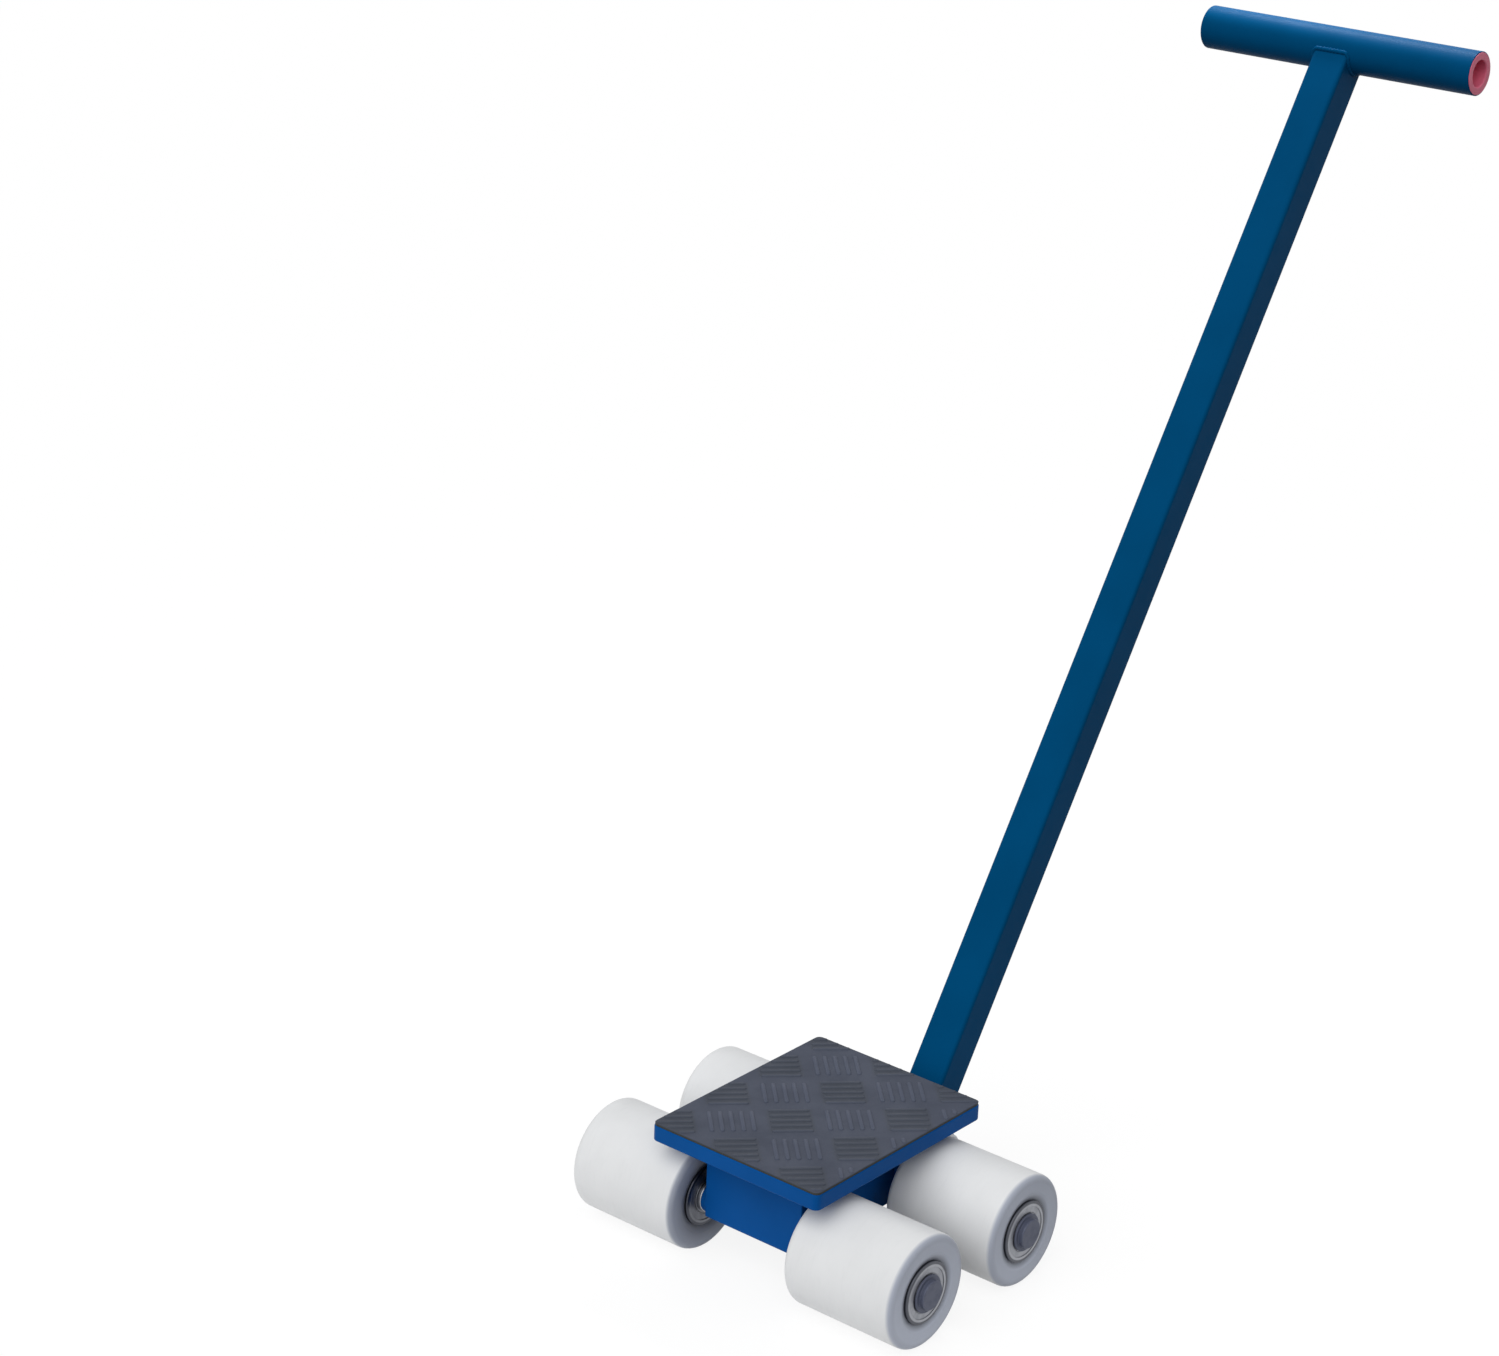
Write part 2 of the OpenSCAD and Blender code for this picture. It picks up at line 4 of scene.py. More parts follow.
import bpy
import numpy as np
from mathutils import Matrix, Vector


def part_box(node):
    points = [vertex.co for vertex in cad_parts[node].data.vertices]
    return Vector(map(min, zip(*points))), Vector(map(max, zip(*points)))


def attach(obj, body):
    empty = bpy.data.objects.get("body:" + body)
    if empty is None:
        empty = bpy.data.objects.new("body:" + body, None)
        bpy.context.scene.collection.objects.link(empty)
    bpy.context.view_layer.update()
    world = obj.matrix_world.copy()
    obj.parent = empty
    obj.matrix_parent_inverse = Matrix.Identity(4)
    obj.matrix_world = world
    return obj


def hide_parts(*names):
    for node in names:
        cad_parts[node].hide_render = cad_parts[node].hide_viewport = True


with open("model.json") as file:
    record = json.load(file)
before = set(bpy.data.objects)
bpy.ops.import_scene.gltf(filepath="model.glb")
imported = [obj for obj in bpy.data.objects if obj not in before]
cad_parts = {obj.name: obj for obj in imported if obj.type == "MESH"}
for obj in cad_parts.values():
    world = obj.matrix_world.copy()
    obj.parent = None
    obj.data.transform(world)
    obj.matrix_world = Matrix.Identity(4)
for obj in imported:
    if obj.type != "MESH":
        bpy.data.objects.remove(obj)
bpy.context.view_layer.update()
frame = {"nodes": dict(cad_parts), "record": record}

mm = 0.001
mergeSteps = 2e4  # points in the same step, of this many to a millimetre, become one
print("skate: the packed frame is loaded")


# Shapes are worked out in millimetres, in the frame's own axes, and put into the meshes in metres


def boxOf(node):
    low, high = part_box(node)
    return np.array(low) / mm, np.array(high) / mm


# Each corner of a closed line becomes an arc that touches its two edges, with one more point beside it on
# each edge
def roundCorners(corners, radius, steps=5, support=0.6):
    corners = np.array(corners, float)
    radius = np.broadcast_to(np.array(radius, float), len(corners))[:, None]
    back = np.roll(corners, 1, axis=0) - corners
    ahead = np.roll(corners, -1, axis=0) - corners
    back /= np.linalg.norm(back, axis=1)[:, None]
    ahead /= np.linalg.norm(ahead, axis=1)[:, None]
    half = 0.5 * np.arccos(np.clip((back * ahead).sum(axis=1), -1, 1))[:, None]
    inward = (back + ahead) / np.linalg.norm(back + ahead, axis=1)[:, None]
    centre = corners + inward * radius / np.sin(half)
    reach = radius / np.tan(half)
    first, last = corners + back * reach - centre, corners + ahead * reach - centre
    span = (math.pi - 2 * half)[:, :, None]
    t = np.linspace(0, 1, steps + 1)[None, :, None]
    arc = (np.sin((1 - t) * span) * first[:, None] + np.sin(t * span) * last[:, None]) / np.sin(span)
    before = corners + back * (reach + support * radius)
    after = corners + ahead * (reach + support * radius)
    return np.concatenate([before[:, None], centre[:, None] + arc, after[:, None]], axis=1).reshape(-1, 2)


# The number of points that roundCorners gives each corner
def perCorner(steps):
    return steps + 3


# The outward normal of a closed line that runs anticlockwise: its direction turned a quarter to the right
def normalsOf(outline):
    along = np.roll(outline, -1, axis=0) - np.roll(outline, 1, axis=0)
    along /= np.linalg.norm(along, axis=1)[:, None]
    return np.stack([along[:, 1], -along[:, 0]], axis=1)


# Splits the long edges of a closed line into equal steps that are no longer than the spacing
def densified(outline, spacing):
    ahead = np.roll(outline, -1, axis=0) - outline
    count = np.maximum(1, np.ceil(np.linalg.norm(ahead, axis=1) / spacing)).astype(int)
    index = np.repeat(np.arange(len(outline)), count)
    share = (np.arange(count.sum()) - np.repeat(np.cumsum(count) - count, count)) / count[index]
    return outline[index] + share[:, None] * ahead[index]


# Quads of a grid whose columns close on themselves, and whose rows do too unless they are left open
def gridFaces(rows, columns, closeRows=True):
    i = np.arange(rows if closeRows else rows - 1)[:, None]
    j = np.arange(columns)[None, :]
    low, high = i * columns, (i + 1) % rows * columns
    after = (j + 1) % columns
    return np.stack([low + j, low + after, high + after, high + j], axis=-1).reshape(-1, 4)


# Three right-handed axes, the last one along the given direction
def axesOf(direction):
    along = np.array(direction, float) / np.linalg.norm(direction)
    side = np.array([1.0, 0, 0]) if abs(along[0]) < 0.9 else np.array([0, 1.0, 0])
    first = side - along * (side @ along)
    first /= np.linalg.norm(first)
    return np.array([first, np.cross(along, first), along])


# A point is the origin, plus its flat place along the first two axes, plus its height along the third
def placed(flat, height, origin, axes):
    points = np.array(origin, float) + flat[..., :1] * axes[0] + flat[..., 1:] * axes[1]
    points = points + height[..., None] * axes[2]
    return points.reshape(-1, 3)


# A turned body: a closed profile of radius and height, carried round the axis
def turned(profile, origin, direction, segments=96):
    profile = np.array(profile, float)
    area = (profile[:, 0] * np.roll(profile[:, 1], -1) - np.roll(profile[:, 0], -1) * profile[:, 1]).sum()
    profile = profile[::-1] if area < 0 else profile
    angle = 2 * math.pi * np.arange(segments) / segments
    flat = profile[:, :1, None] * np.stack([np.cos(angle), np.sin(angle)], axis=-1)[None]
    height = np.broadcast_to(profile[:, 1:], flat.shape[:2])
    return placed(flat, height, origin, axesOf(direction)), gridFaces(len(profile), segments)


# A flat body: its outline goes in by the section's inset at each height, up the outside and over both faces,
# and back down round a hole of the given radius, or to the middle where there is no hole.
def slab(outline, thickness, bevel, origin, direction, hole=0.0, middle=(0, 0)):
    corners = [[thickness, 0], [0, 0], [0, thickness], [thickness, thickness]]
    section = roundCorners(corners, bevel, 4)[perCorner(4):3 * perCorner(4)]
    outline = densified(outline, hole / 6) if hole else outline
    edge = outline[None] - section[:, :1, None] * normalsOf(outline)[None]
    away = outline - np.array(middle)
    away /= np.linalg.norm(away, axis=1)[:, None]
    bore = np.array([[0, thickness], [0, 0.0]])
    if hole:
        wide = hole + bevel / 2
        bore = np.array([[wide, thickness], [hole, thickness - bevel / 2], [hole, bevel / 2], [wide, 0]])
    rim = np.array(middle) + bore[:, :1, None] * away[None]
    flat = np.concatenate([edge, rim])
    height = np.broadcast_to(np.concatenate([section[:, 1], bore[:, 1]])[:, None], flat.shape[:2])
    return placed(flat, height, origin, axesOf(direction)), gridFaces(len(flat), len(outline))


def roundedRectangle(width, length, corner, steps=6):
    x, y = width / 2, length / 2
    return roundCorners([[x, -y], [x, y], [-x, y], [-x, -y]], corner, steps)


# A wire or bead: a circle of changing radius carried along a path, in the plane of the two side directions
def beadAlong(path, first, second, radius, closed=False, sides=12):
    angle = 2 * math.pi * np.arange(sides) / sides
    radius = np.broadcast_to(np.array(radius, float), len(path))[:, None, None]
    ring = np.cos(angle)[None, :, None] * first[:, None] + np.sin(angle)[None, :, None] * second[:, None]
    points = path[:, None] + radius * ring
    if not closed:
        ends = np.broadcast_to(path[[0, -1]][:, None], (2, sides, 3))
        points = np.concatenate([ends[:1], points, ends[1:]])
    return points.reshape(-1, 3), gridFaces(len(points), sides, closed)


# The ripples of a hand-laid bead: its radius swells by a share of itself once for each pitch of its length
def rippled(path, radius, share, pitch):
    step = np.linalg.norm(np.diff(path, axis=0), axis=1)
    run = np.concatenate([[0], np.cumsum(step)])
    return radius * (1 + share * np.sin(2 * math.pi * run / pitch) + 0.4 * share * np.sin(2.3 * run + 1))


def stacked(parts):
    start = np.cumsum([0] + [len(p) for p, f in parts[:-1]])
    return np.concatenate([p for p, f in parts]), np.concatenate([f + s for (p, f), s in zip(parts, start)])


# Joins the surfaces, merges points that fall together, turns quads that lost a corner into triangles,
# and makes the smooth-shaded object, riding on its body
def makePiece(name, parts, material, body, nodes, crease=42):
    points, quads = stacked(parts)
    steps = np.round(points * mergeSteps).astype(np.int64)
    first, inverse = np.unique(steps, axis=0, return_index=True, return_inverse=True)[1:]
    points, quads = points[first], inverse.ravel()[quads]
    lost = quads == np.roll(quads, -1, axis=1)
    count = lost.sum(axis=1)
    triangles = quads[count == 1][~lost[count == 1]].reshape(-1, 3)
    mesh = bpy.data.meshes.new(name)
    mesh.from_pydata((points * mm).tolist(), [], quads[count == 0].tolist() + triangles.tolist())
    mesh.materials.append(material)
    mesh.shade_smooth()
    mesh.set_sharp_from_angle(angle=math.radians(crease))
    mesh.validate()
    piece = bpy.data.objects.new(name, mesh)
    bpy.context.scene.collection.objects.link(piece)
    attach(piece, body)
    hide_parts(*nodes)
    return piece


# Materials


class Flow:  # the value that leaves a socket
    def __init__(self, graph, socket):
        self.graph, self.socket = graph, socket

    def __getitem__(self, name):
        return Flow(self.graph, self.socket.node.outputs[name])

    def __add__(self, other):
        return self.graph.math("ADD", self, other)

    def __sub__(self, other):
        return self.graph.math("SUBTRACT", self, other)

    def __rsub__(self, other):
        return self.graph.math("SUBTRACT", other, self)

    def __mul__(self, other):
        return self.graph.math("MULTIPLY", self, other)

    def __truediv__(self, other):
        return self.graph.math("DIVIDE", self, other)

    __radd__ = __add__
    __rmul__ = __mul__


class Graph:  # the nodes of one material
    def __init__(self, name, tree=None):
        if tree is None:
            self.material = bpy.data.materials.new(name)
            self.material.use_nodes = True
            tree = self.material.node_tree
        self.tree = tree
        self.tree.nodes.clear()

    def node(self, kind, settings=(), values=(), output=0):
        made = self.tree.nodes.new(kind)
        for key, value in dict(settings).items():
            setattr(made, key, value)
        for key, value in dict(values).items():
            if isinstance(value, Flow):
                self.tree.links.new(value.socket, made.inputs[key])
            else:
                made.inputs[key].default_value = value
        return Flow(self, made.outputs[output]) if made.outputs else made

    def math(self, operation, *values):
        return self.node("ShaderNodeMath", {"operation": operation}, enumerate(values))

    def place(self):
        return self.node("ShaderNodeTexCoord", output="Object")

    def mapped(self, vector, scale):
        return self.node("ShaderNodeMapping", {}, {"Vector": vector, "Scale": scale})

    def noise(self, vector, scale, detail=2.0, roughness=0.5):
        values = {"Vector": vector, "Scale": scale, "Detail": detail, "Roughness": roughness}
        return self.node("ShaderNodeTexNoise", {}, values)

    def ranged(self, value, low, high):  # 0 below low, 1 above high
        return self.node("ShaderNodeMapRange", {}, {"Value": value, "From Min": low, "From Max": high})

    # The same between two limits in millimetres, counted from the start
    def span(self, value, limits, start=0.0):
        return self.ranged(value, (start + limits[0]) * mm, (start + limits[1]) * mm)

    def mix(self, factor, first, second):
        colours = {0: factor, 6: first, 7: second}
        return self.node("ShaderNodeMix", {"data_type": "RGBA"}, colours, 2)

    def bump(self, height, strength, distance):
        return self.node("ShaderNodeBump", {}, {"Height": height, "Strength": strength, "Distance": distance})

    def surface(self, values):
        shader = self.node("ShaderNodeBsdfPrincipled", {}, values)
        self.node("ShaderNodeOutputMaterial", {}, {"Surface": shader})
        return self.material


def tone(red, green, blue, share=1.0):
    return (red * share, green * share, blue * share, 1.0)


# Satin enamel with a slight orange peel, a little cloudy and dulled in patches. Its sheen is tinted like
# the paint.
def enamel(name, look):
    g = Graph(name)
    place = g.place()
    cloud = g.ranged(g.noise(place, 22, 3.0), 0.3, 0.7)
    dull = g.ranged(g.noise(place, 75, 5.0, 0.65), 0.5, 0.8)
    peel = g.noise(place, 620, 1.5)
    colour = g.mix(cloud, tone(*look["colour"]), tone(*look["colour"], look["deep"]))
    return g.surface({
        "Base Color": colour, "Roughness": look["roughness"] + 0.10 * dull,
        "Specular IOR Level": look["gloss"], "Specular Tint": tone(*look["sheen"]),
        "Normal": g.bump(peel, 0.10, 0.0003)})


# Turned metal or plastic on the axles: fine rings round the axle, from noise over the place along the axle
# and the distance from its middle. Gives both of these places too.
def axleRings(g, pitch):
    xyz = g.node("ShaderNodeSeparateXYZ", {}, {"Vector": g.place()})
    y = g.math("ABSOLUTE", xyz["Y"]) - axleY * mm
    z = xyz["Z"] - axleZ * mm
    distance = g.math("SQRT", y * y + z * z)
    rings = g.node("ShaderNodeCombineXYZ", {}, {"X": xyz["X"] / pitch, "Y": distance / pitch})
    return xyz["X"], distance, g.noise(rings, 1.0, 2.0)


# The steel is painted darker between the two radii of its band, as shade in the recess, and all over next
# to the frame, as shade between the rollers and the frame
def turnedSteel(name, look):
    g = Graph(name)
    x, distance, rings = axleRings(g, look["pitch"] * mm)
    stain = g.ranged(g.noise(g.place(), 160, 4.0, 0.6), 0.45, 0.75)
    colour = g.mix(rings, tone(*look["colour"], 0.86), tone(*look["colour"]))
    colour = g.mix(stain * look["stain"], colour, tone(*look["colour"], 0.55))
    if "smear" in look:
        (start, end), fade = look["smear"], look["fade"]
        smear = g.span(distance, (-fade, 0), start) * (1 - g.span(distance, (0, fade), end))
        colour = g.mix(smear * look["smeared"], colour, tone(*shadeTone))
    if "soiled" in look:
        inside = 1 - g.span(g.math("ABSOLUTE", x), frameShadeReach["bearing"], rollerLow[0])
        colour = g.mix(inside * look["soiled"], colour, tone(*shadeTone))
    return g.surface({
        "Base Color": colour, "Metallic": look["metal"], "Roughness": look["roughness"] + 0.16 * stain,
        "Normal": g.bump(rings, 0.12, 0.0002)})


def plainSteel(name, look):
    g = Graph(name)
    place = g.place()
    grain = g.noise(g.mapped(place, (1.0, 1.0, 6.0)), 420, 3.0)
    stain = g.ranged(g.noise(place, 130, 4.0, 0.6), 0.45, 0.75)
    colour = g.mix(grain, tone(*look["colour"], 0.85), tone(*look["colour"]))
    colour = g.mix(stain * look["stain"], colour, tone(*look["colour"], 0.6))
    return g.surface({
        "Base Color": colour, "Metallic": look["metal"], "Roughness": look["roughness"] + 0.15 * stain,
        "Normal": g.bump(grain, 0.10, 0.0002)})


# White polyamide: faint rings from turning, milky clouds and scuffs that run round the rolling face. Painted
# shade:
# greyer, bluer ends that reach further round the right-hand edge, a darker rim round each end, darker colour
# in the round recess of each end, and more on the end by the frame
def rollerPlastic(name, look):
    g = Graph(name)
    place = g.place()
    x, distance, rings = axleRings(g, look["pitch"] * mm)
    cloud = g.ranged(g.noise(place, 34, 3.0), 0.3, 0.7)
    scuff = g.ranged(g.noise(g.mapped(place, (5.0, 1.0, 1.0)), 60, 5.0, 0.7), 0.52, 0.75)
    # Painted shade: the ends' grey-blue reaches further round the right-hand edge than round the left
    fromMiddle = x - g.math("SIGN", x) * ((rollerHigh[0] + rollerLow[0]) / 2 * mm)
    halfLength = (rollerHigh[0] - rollerLow[0]) / 2
    rightEnd = g.span(fromMiddle, look["rightEnd"], halfLength)
    leftEnd = 1 - g.span(fromMiddle, look["leftEnd"], -halfLength)
    edge = g.span(distance, look["edge"], rollerRadius)
    recess = 1 - g.span(distance, look["recess"])
    # Painted shade on the end by the frame, lighter further from the axle
    inside = 1 - g.span(g.math("ABSOLUTE", x), frameShadeReach["end"], rollerLow[0])
    grime = inside * (look["grime"] - look["grimeLess"] * g.span(distance, look["grimeFade"]))
    colour = g.mix(cloud, tone(*look["colour"]), tone(*look["colour"], 0.955))
    colour = g.mix(rings * 0.10, colour, tone(*look["colour"], 0.80))
    colour = g.mix(scuff * look["scuffs"], colour, tone(*look["scuffed"]))
    ends = g.mix(cloud, tone(*look["ends"]), tone(*look["ends"], 0.95))
    # Painted shade: a darker rim round the outside of each end
    ends = g.mix(edge * look["edgeGrease"], ends, tone(*shadeTone))
    colour = g.mix(rightEnd + leftEnd, colour, ends)
    # Painted shade in the round recess of each end
    colour = g.mix(recess * look["recessGrease"], colour, tone(*shadeTone))
    colour = g.mix(grime * (rightEnd + leftEnd), colour, tone(*shadeTone))
    return g.surface({
        "Base Color": colour, "Roughness": look["roughness"] + 0.12 * scuff,
        "Specular IOR Level": 0.35, "Normal": g.bump(rings, 0.16, 0.0002)})


# Black-grey rubber: fine grain, pale dust in patches, bar tops rubbed a little lighter, and every second
# group of bars painted a little darker as shade, found from the place in the tread's repeat, turned by an
# eighth
def matRubber(name, look):
    g = Graph(name)
    place = g.place()
    height = g.node("ShaderNodeSeparateXYZ", {}, {"Vector": place})["Z"]
    rubbed = g.span(height, look["rubbedFade"], matTop)
    edge = 1 - g.span(height, look["edgeFade"], matTop)
    grain = g.noise(place, 900, 3.0, 0.6)
    cloud = g.ranged(g.noise(place, 40, 4.0, 0.6), 0.35, 0.7)
    colour = g.mix(cloud, tone(*look["colour"]), tone(*look["colour"], 0.84))
    colour = g.mix(rubbed * look["rubbed"], colour, tone(*look["colour"], 1.5))
    half = look["pitch"] / 2
    shift = (look["offset"] * mm, (half - look["offset"]) * mm, 0)
    shifted = g.node("ShaderNodeVectorMath", {"operation": "ADD"}, {0: place, 1: shift})
    local = g.node(
        "ShaderNodeVectorMath", {"operation": "WRAP"}, {0: shifted, 1: [half * mm] * 3, 2: [-half * mm] * 3})
    local = g.node(
        "ShaderNodeVectorRotate", {"rotation_type": "Z_AXIS"}, {"Vector": local, "Angle": math.pi / 4})
    local = g.node("ShaderNodeVectorMath", {"operation": "ABSOLUTE"}, {0: local})
    local = g.node("ShaderNodeSeparateXYZ", {}, {"Vector": local})
    # Painted shade: every second group of bars darker
    group = (1 - g.span(local["X"], look["groupFade"])) * (1 - g.span(local["Y"], look["groupFade"]))
    colour = g.mix(group * look["worn"], colour, tone(*look["group"]))
    colour = g.mix(edge, colour, tone(*look["edge"]))
    colour = g.mix(g.ranged(grain, 0.55, 0.75) * 0.25, colour, tone(*look["colour"], 1.5))
    return g.surface({
        "Base Color": colour, "Roughness": look["roughness"] + 0.1 * cloud,
        "Specular IOR Level": 0.25, "Normal": g.bump(grain, 0.25, 0.0002)})


def mouldedPlastic(name, look):
    g = Graph(name)
    place = g.place()
    cloud = g.ranged(g.noise(place, 90, 3.0), 0.3, 0.7)
    grain = g.noise(place, 1100, 2.0)
    colour = g.mix(cloud, tone(*look["colour"]), tone(*look["colour"], 0.86))
    return g.surface({
        "Base Color": colour, "Roughness": look["roughness"] + 0.08 * cloud,
        "Specular IOR Level": 0.35, "Normal": g.bump(grain, 0.12, 0.0002)})


rollerLow, rollerHigh = boxOf("roller_fr")
rollerRadius = (rollerHigh[2] - rollerLow[2]) / 2
axleZ = (rollerHigh[2] + rollerLow[2]) / 2
axleY = -(rollerHigh[1] + rollerLow[1]) / 2
matTop = boxOf("rubber_mat")[1][2]

framePaint = enamel("framePaint", {
    "colour": (0.003, 0.078, 0.300), "deep": 0.88, "sheen": (0.2, 0.6, 1.0), "roughness": 0.40,
    "gloss": 0.06})
drawbarPaint = enamel("drawbarPaint", {
    "colour": (0.0, 0.063, 0.172), "deep": 0.90, "sheen": (0.1, 0.5, 1.0), "roughness": 0.42, "gloss": 0.03})

# Lengths in these looks are millimetres. The frame's painted shade fades out this far past the rollers' inner
# ends.
# The colour of painted shade in the recesses and between the rollers and the frame
shadeTone = (0.050, 0.054, 0.068)
frameShadeReach = {"bearing": (18.0, 20.0), "end": (5.0, 7.0)}

# The tread's repeat and its offset from the mat's middle, which its shape and its painted shade both follow
treadRepeat = {"pitch": 60.0, "offset": 5.0}
rubber = matRubber("matRubber", {
    **treadRepeat, "colour": (0.050, 0.059, 0.087), "edge": (0.030, 0.032, 0.026),
    "group": (0.036, 0.042, 0.052), "worn": 0.55, "rubbed": 0.5, "rubbedFade": (-0.9, -0.1),
    "edgeFade": (-1.6, -1.1), "groupFade": (14.5, 18.0), "roughness": 0.62})
# The rollers' end colour, their rims, recesses and the ends by the frame are painted shade
nylon = rollerPlastic("rollerNylon", {
    "colour": (0.74, 0.75, 0.76), "ends": (0.51, 0.55, 0.65), "scuffed": (0.50, 0.51, 0.53), "scuffs": 0.10,
    "rightEnd": (-4.2, -1.8), "leftEnd": (0.2, 1.2), "edge": (-6.5, -2.5), "edgeGrease": 0.2,
    "recess": (24.5, 28.5), "recessGrease": 0.55, "grime": 0.65, "grimeLess": 0.36, "grimeFade": (30.0, 40.0),
    "pitch": 0.9, "roughness": 0.46})
# Painted shade: the outer rings darker in a band by the recess, and darker on the side by the frame
ringSteel = turnedSteel("ringSteel", {
    "colour": (0.33, 0.34, 0.37), "smear": (21.5, 24.0), "fade": 0.6, "smeared": 0.85, "soiled": 0.6,
    "pitch": 0.35, "stain": 0.2, "metal": 1.0, "roughness": 0.34})
# Painted shade: the shields darker on the side by the frame
shieldSteel = turnedSteel("shieldSteel", {
    "colour": (0.30, 0.31, 0.34), "soiled": 0.6, "pitch": 0.5, "stain": 0.3, "metal": 1.0, "roughness": 0.40})
darkSteel = turnedSteel("darkSteel", {
    "colour": (0.088, 0.100, 0.152), "pitch": 0.5, "stain": 0.2, "metal": 0.2, "roughness": 0.50})
bareSteel = turnedSteel("turnedSteel", {
    "colour": (0.42, 0.43, 0.46), "pitch": 0.4, "stain": 0.4, "metal": 1.0, "roughness": 0.34})
zincSteel = plainSteel("zincSteel", {
    "colour": (0.42, 0.43, 0.45), "stain": 0.4, "metal": 1.0, "roughness": 0.36})
ballSteel = plainSteel("ballSteel", {
    "colour": (0.62, 0.63, 0.65), "stain": 0.05, "metal": 1.0, "roughness": 0.14})
cageNylon = mouldedPlastic("cageNylon", {"colour": (0.42, 0.33, 0.16), "roughness": 0.45})
capRed = mouldedPlastic("capRed", {"colour": (0.78, 0.165, 0.270), "roughness": 0.42})
print("skate: the materials are made")

slotFinish = {
    "blue_paint": framePaint, "drawbar_paint": drawbarPaint, "mat_rubber": rubber, "roller_nylon": nylon,
    "ring_steel": ringSteel, "ball_steel": ballSteel, "shield_steel": shieldSteel, "cage_nylon": cageNylon,
    "turned_steel": bareSteel, "dark_steel": darkSteel, "zinc_steel": zincSteel, "red_plastic": capRed}
for part in frame["record"]["subparts"]:
    for holder in frame["nodes"][part["node"]].material_slots:
        holder.material = slotFinish[part["material_slot"]]


# Load plate and mat

plateShape = {"corner": 5.0, "bevel": 0.9}
plateLow, plateHigh = boxOf("load_plate")
plateWide, plateLong, plateThick = plateHigh - plateLow
makePiece(
    "loadPlate",
    [slab(roundedRectangle(plateWide, plateLong, plateShape["corner"], 8), plateThick, plateShape["bevel"],
          (0, 0, plateLow[2]), (0, 0, 1))],
    framePaint, "turntable", ["load_plate"])

matShape = {
    **treadRepeat, "corner": 4.5, "bevel": 0.5, "treadHeight": 0.8, "bars": 5, "barLength": 30.0,
    "barWidth": 3.4, "barPitch": 7.6, "margin": 0.6, "shortest": 1.5, "pointsPerEnd": 8}


# Tread bars in groups of parallel bars, the groups in a chequer with every second one turned by a right
# angle. A bar is a stadium that goes in and up in three rows, and closes on its middle. The line between
# the middles of its two round ends is cut where it leaves the mat's rectangle, less the bar's radius and a
# margin.
def treadBars(shape, wide, long, top):
    columns, lines = math.ceil(wide / shape["pitch"] / 2), math.ceil(long / shape["pitch"] / 2)
    t, i, j, k = (a.ravel() for a in np.meshgrid(
        [0, 1], np.arange(-columns, columns + 1), np.arange(-lines, lines + 1), np.arange(shape["bars"]),
        indexing="ij"))
    angle = math.pi / 4 + t * math.pi / 2
    along = np.stack([np.cos(angle), np.sin(angle)], axis=-1)
    across = np.stack([-np.sin(angle), np.cos(angle)], axis=-1)
    middleX = (i + t / 2) * shape["pitch"] - shape["offset"]
    middleY = (j + (1 + t) / 2) * shape["pitch"] + shape["offset"]
    middle = np.stack([middleX, middleY], axis=-1)
    middle = middle + across * ((k - (shape["bars"] - 1) / 2) * shape["barPitch"])[:, None]
    half = (shape["barLength"] - shape["barWidth"]) / 2
    limit = np.array([wide, long]) / 2 - shape["barWidth"] / 2 - shape["margin"]
    crossings = np.stack([(-limit - middle) / along, (limit - middle) / along])
    start = np.maximum(crossings.min(axis=0).max(axis=-1), -half)
    end = np.minimum(crossings.max(axis=0).min(axis=-1), half)
    kept = end - start > shape["shortest"]
    start, end, along, across = start[kept], end[kept], along[kept], across[kept]
    middle = middle[kept] + along * ((start + end) / 2)[:, None]

    n = shape["pointsPerEnd"]
    turn = np.linspace(-math.pi / 2, math.pi / 2, n)
    turn = np.concatenate([turn, turn + math.pi])
    way = np.where(np.arange(2 * n) < n, 0.5, -0.5)
    drawnHeight = 0.8
    # Inset, and height in a tread that is drawn that high
    rows = np.array([[-0.25, -0.3], [0.25, 0.55], [0.65, drawnHeight]])
    rows = np.concatenate([rows[:1], rows, rows[-1:]])
    spread = np.array([0, 1, 1, 1, 0])[:, None]  # the poles under and on top of a bar
    radius = spread * (shape["barWidth"] / 2 - rows[:, :1])
    x = spread * way * (end - start)[:, None, None] + radius * np.cos(turn)
    y = np.broadcast_to(radius * np.sin(turn), x.shape)
    flat = middle[:, None, None] + x[..., None] * along[:, None, None] + y[..., None] * across[:, None, None]
    height = rows[:, 1] * shape["treadHeight"] / drawnHeight + top - shape["treadHeight"]
    z = np.broadcast_to(height[:, None], x.shape)
    faces = gridFaces(len(rows), 2 * n, False)
    faces = (faces[None] + np.arange(len(x))[:, None, None] * len(rows) * 2 * n).reshape(-1, 4)
    return np.concatenate([flat, z[..., None]], axis=-1).reshape(-1, 3), faces


matLow, matHigh = boxOf("rubber_mat")
matWide, matLong = (matHigh - matLow)[:2]
matBody = slab(
    roundedRectangle(matWide, matLong, matShape["corner"], 8),
    matHigh[2] - matLow[2] - matShape["treadHeight"],
    matShape["bevel"], (0, 0, matLow[2]), (0, 0, 1))
makePiece(
    "ribbedMat", [matBody, treadBars(matShape, matWide, matLong, matHigh[2])],
    rubber, "turntable", ["rubber_mat"], crease=60)


# Turntable: the ring in the deck, its keeper and the two washers of the ball thrust bearing

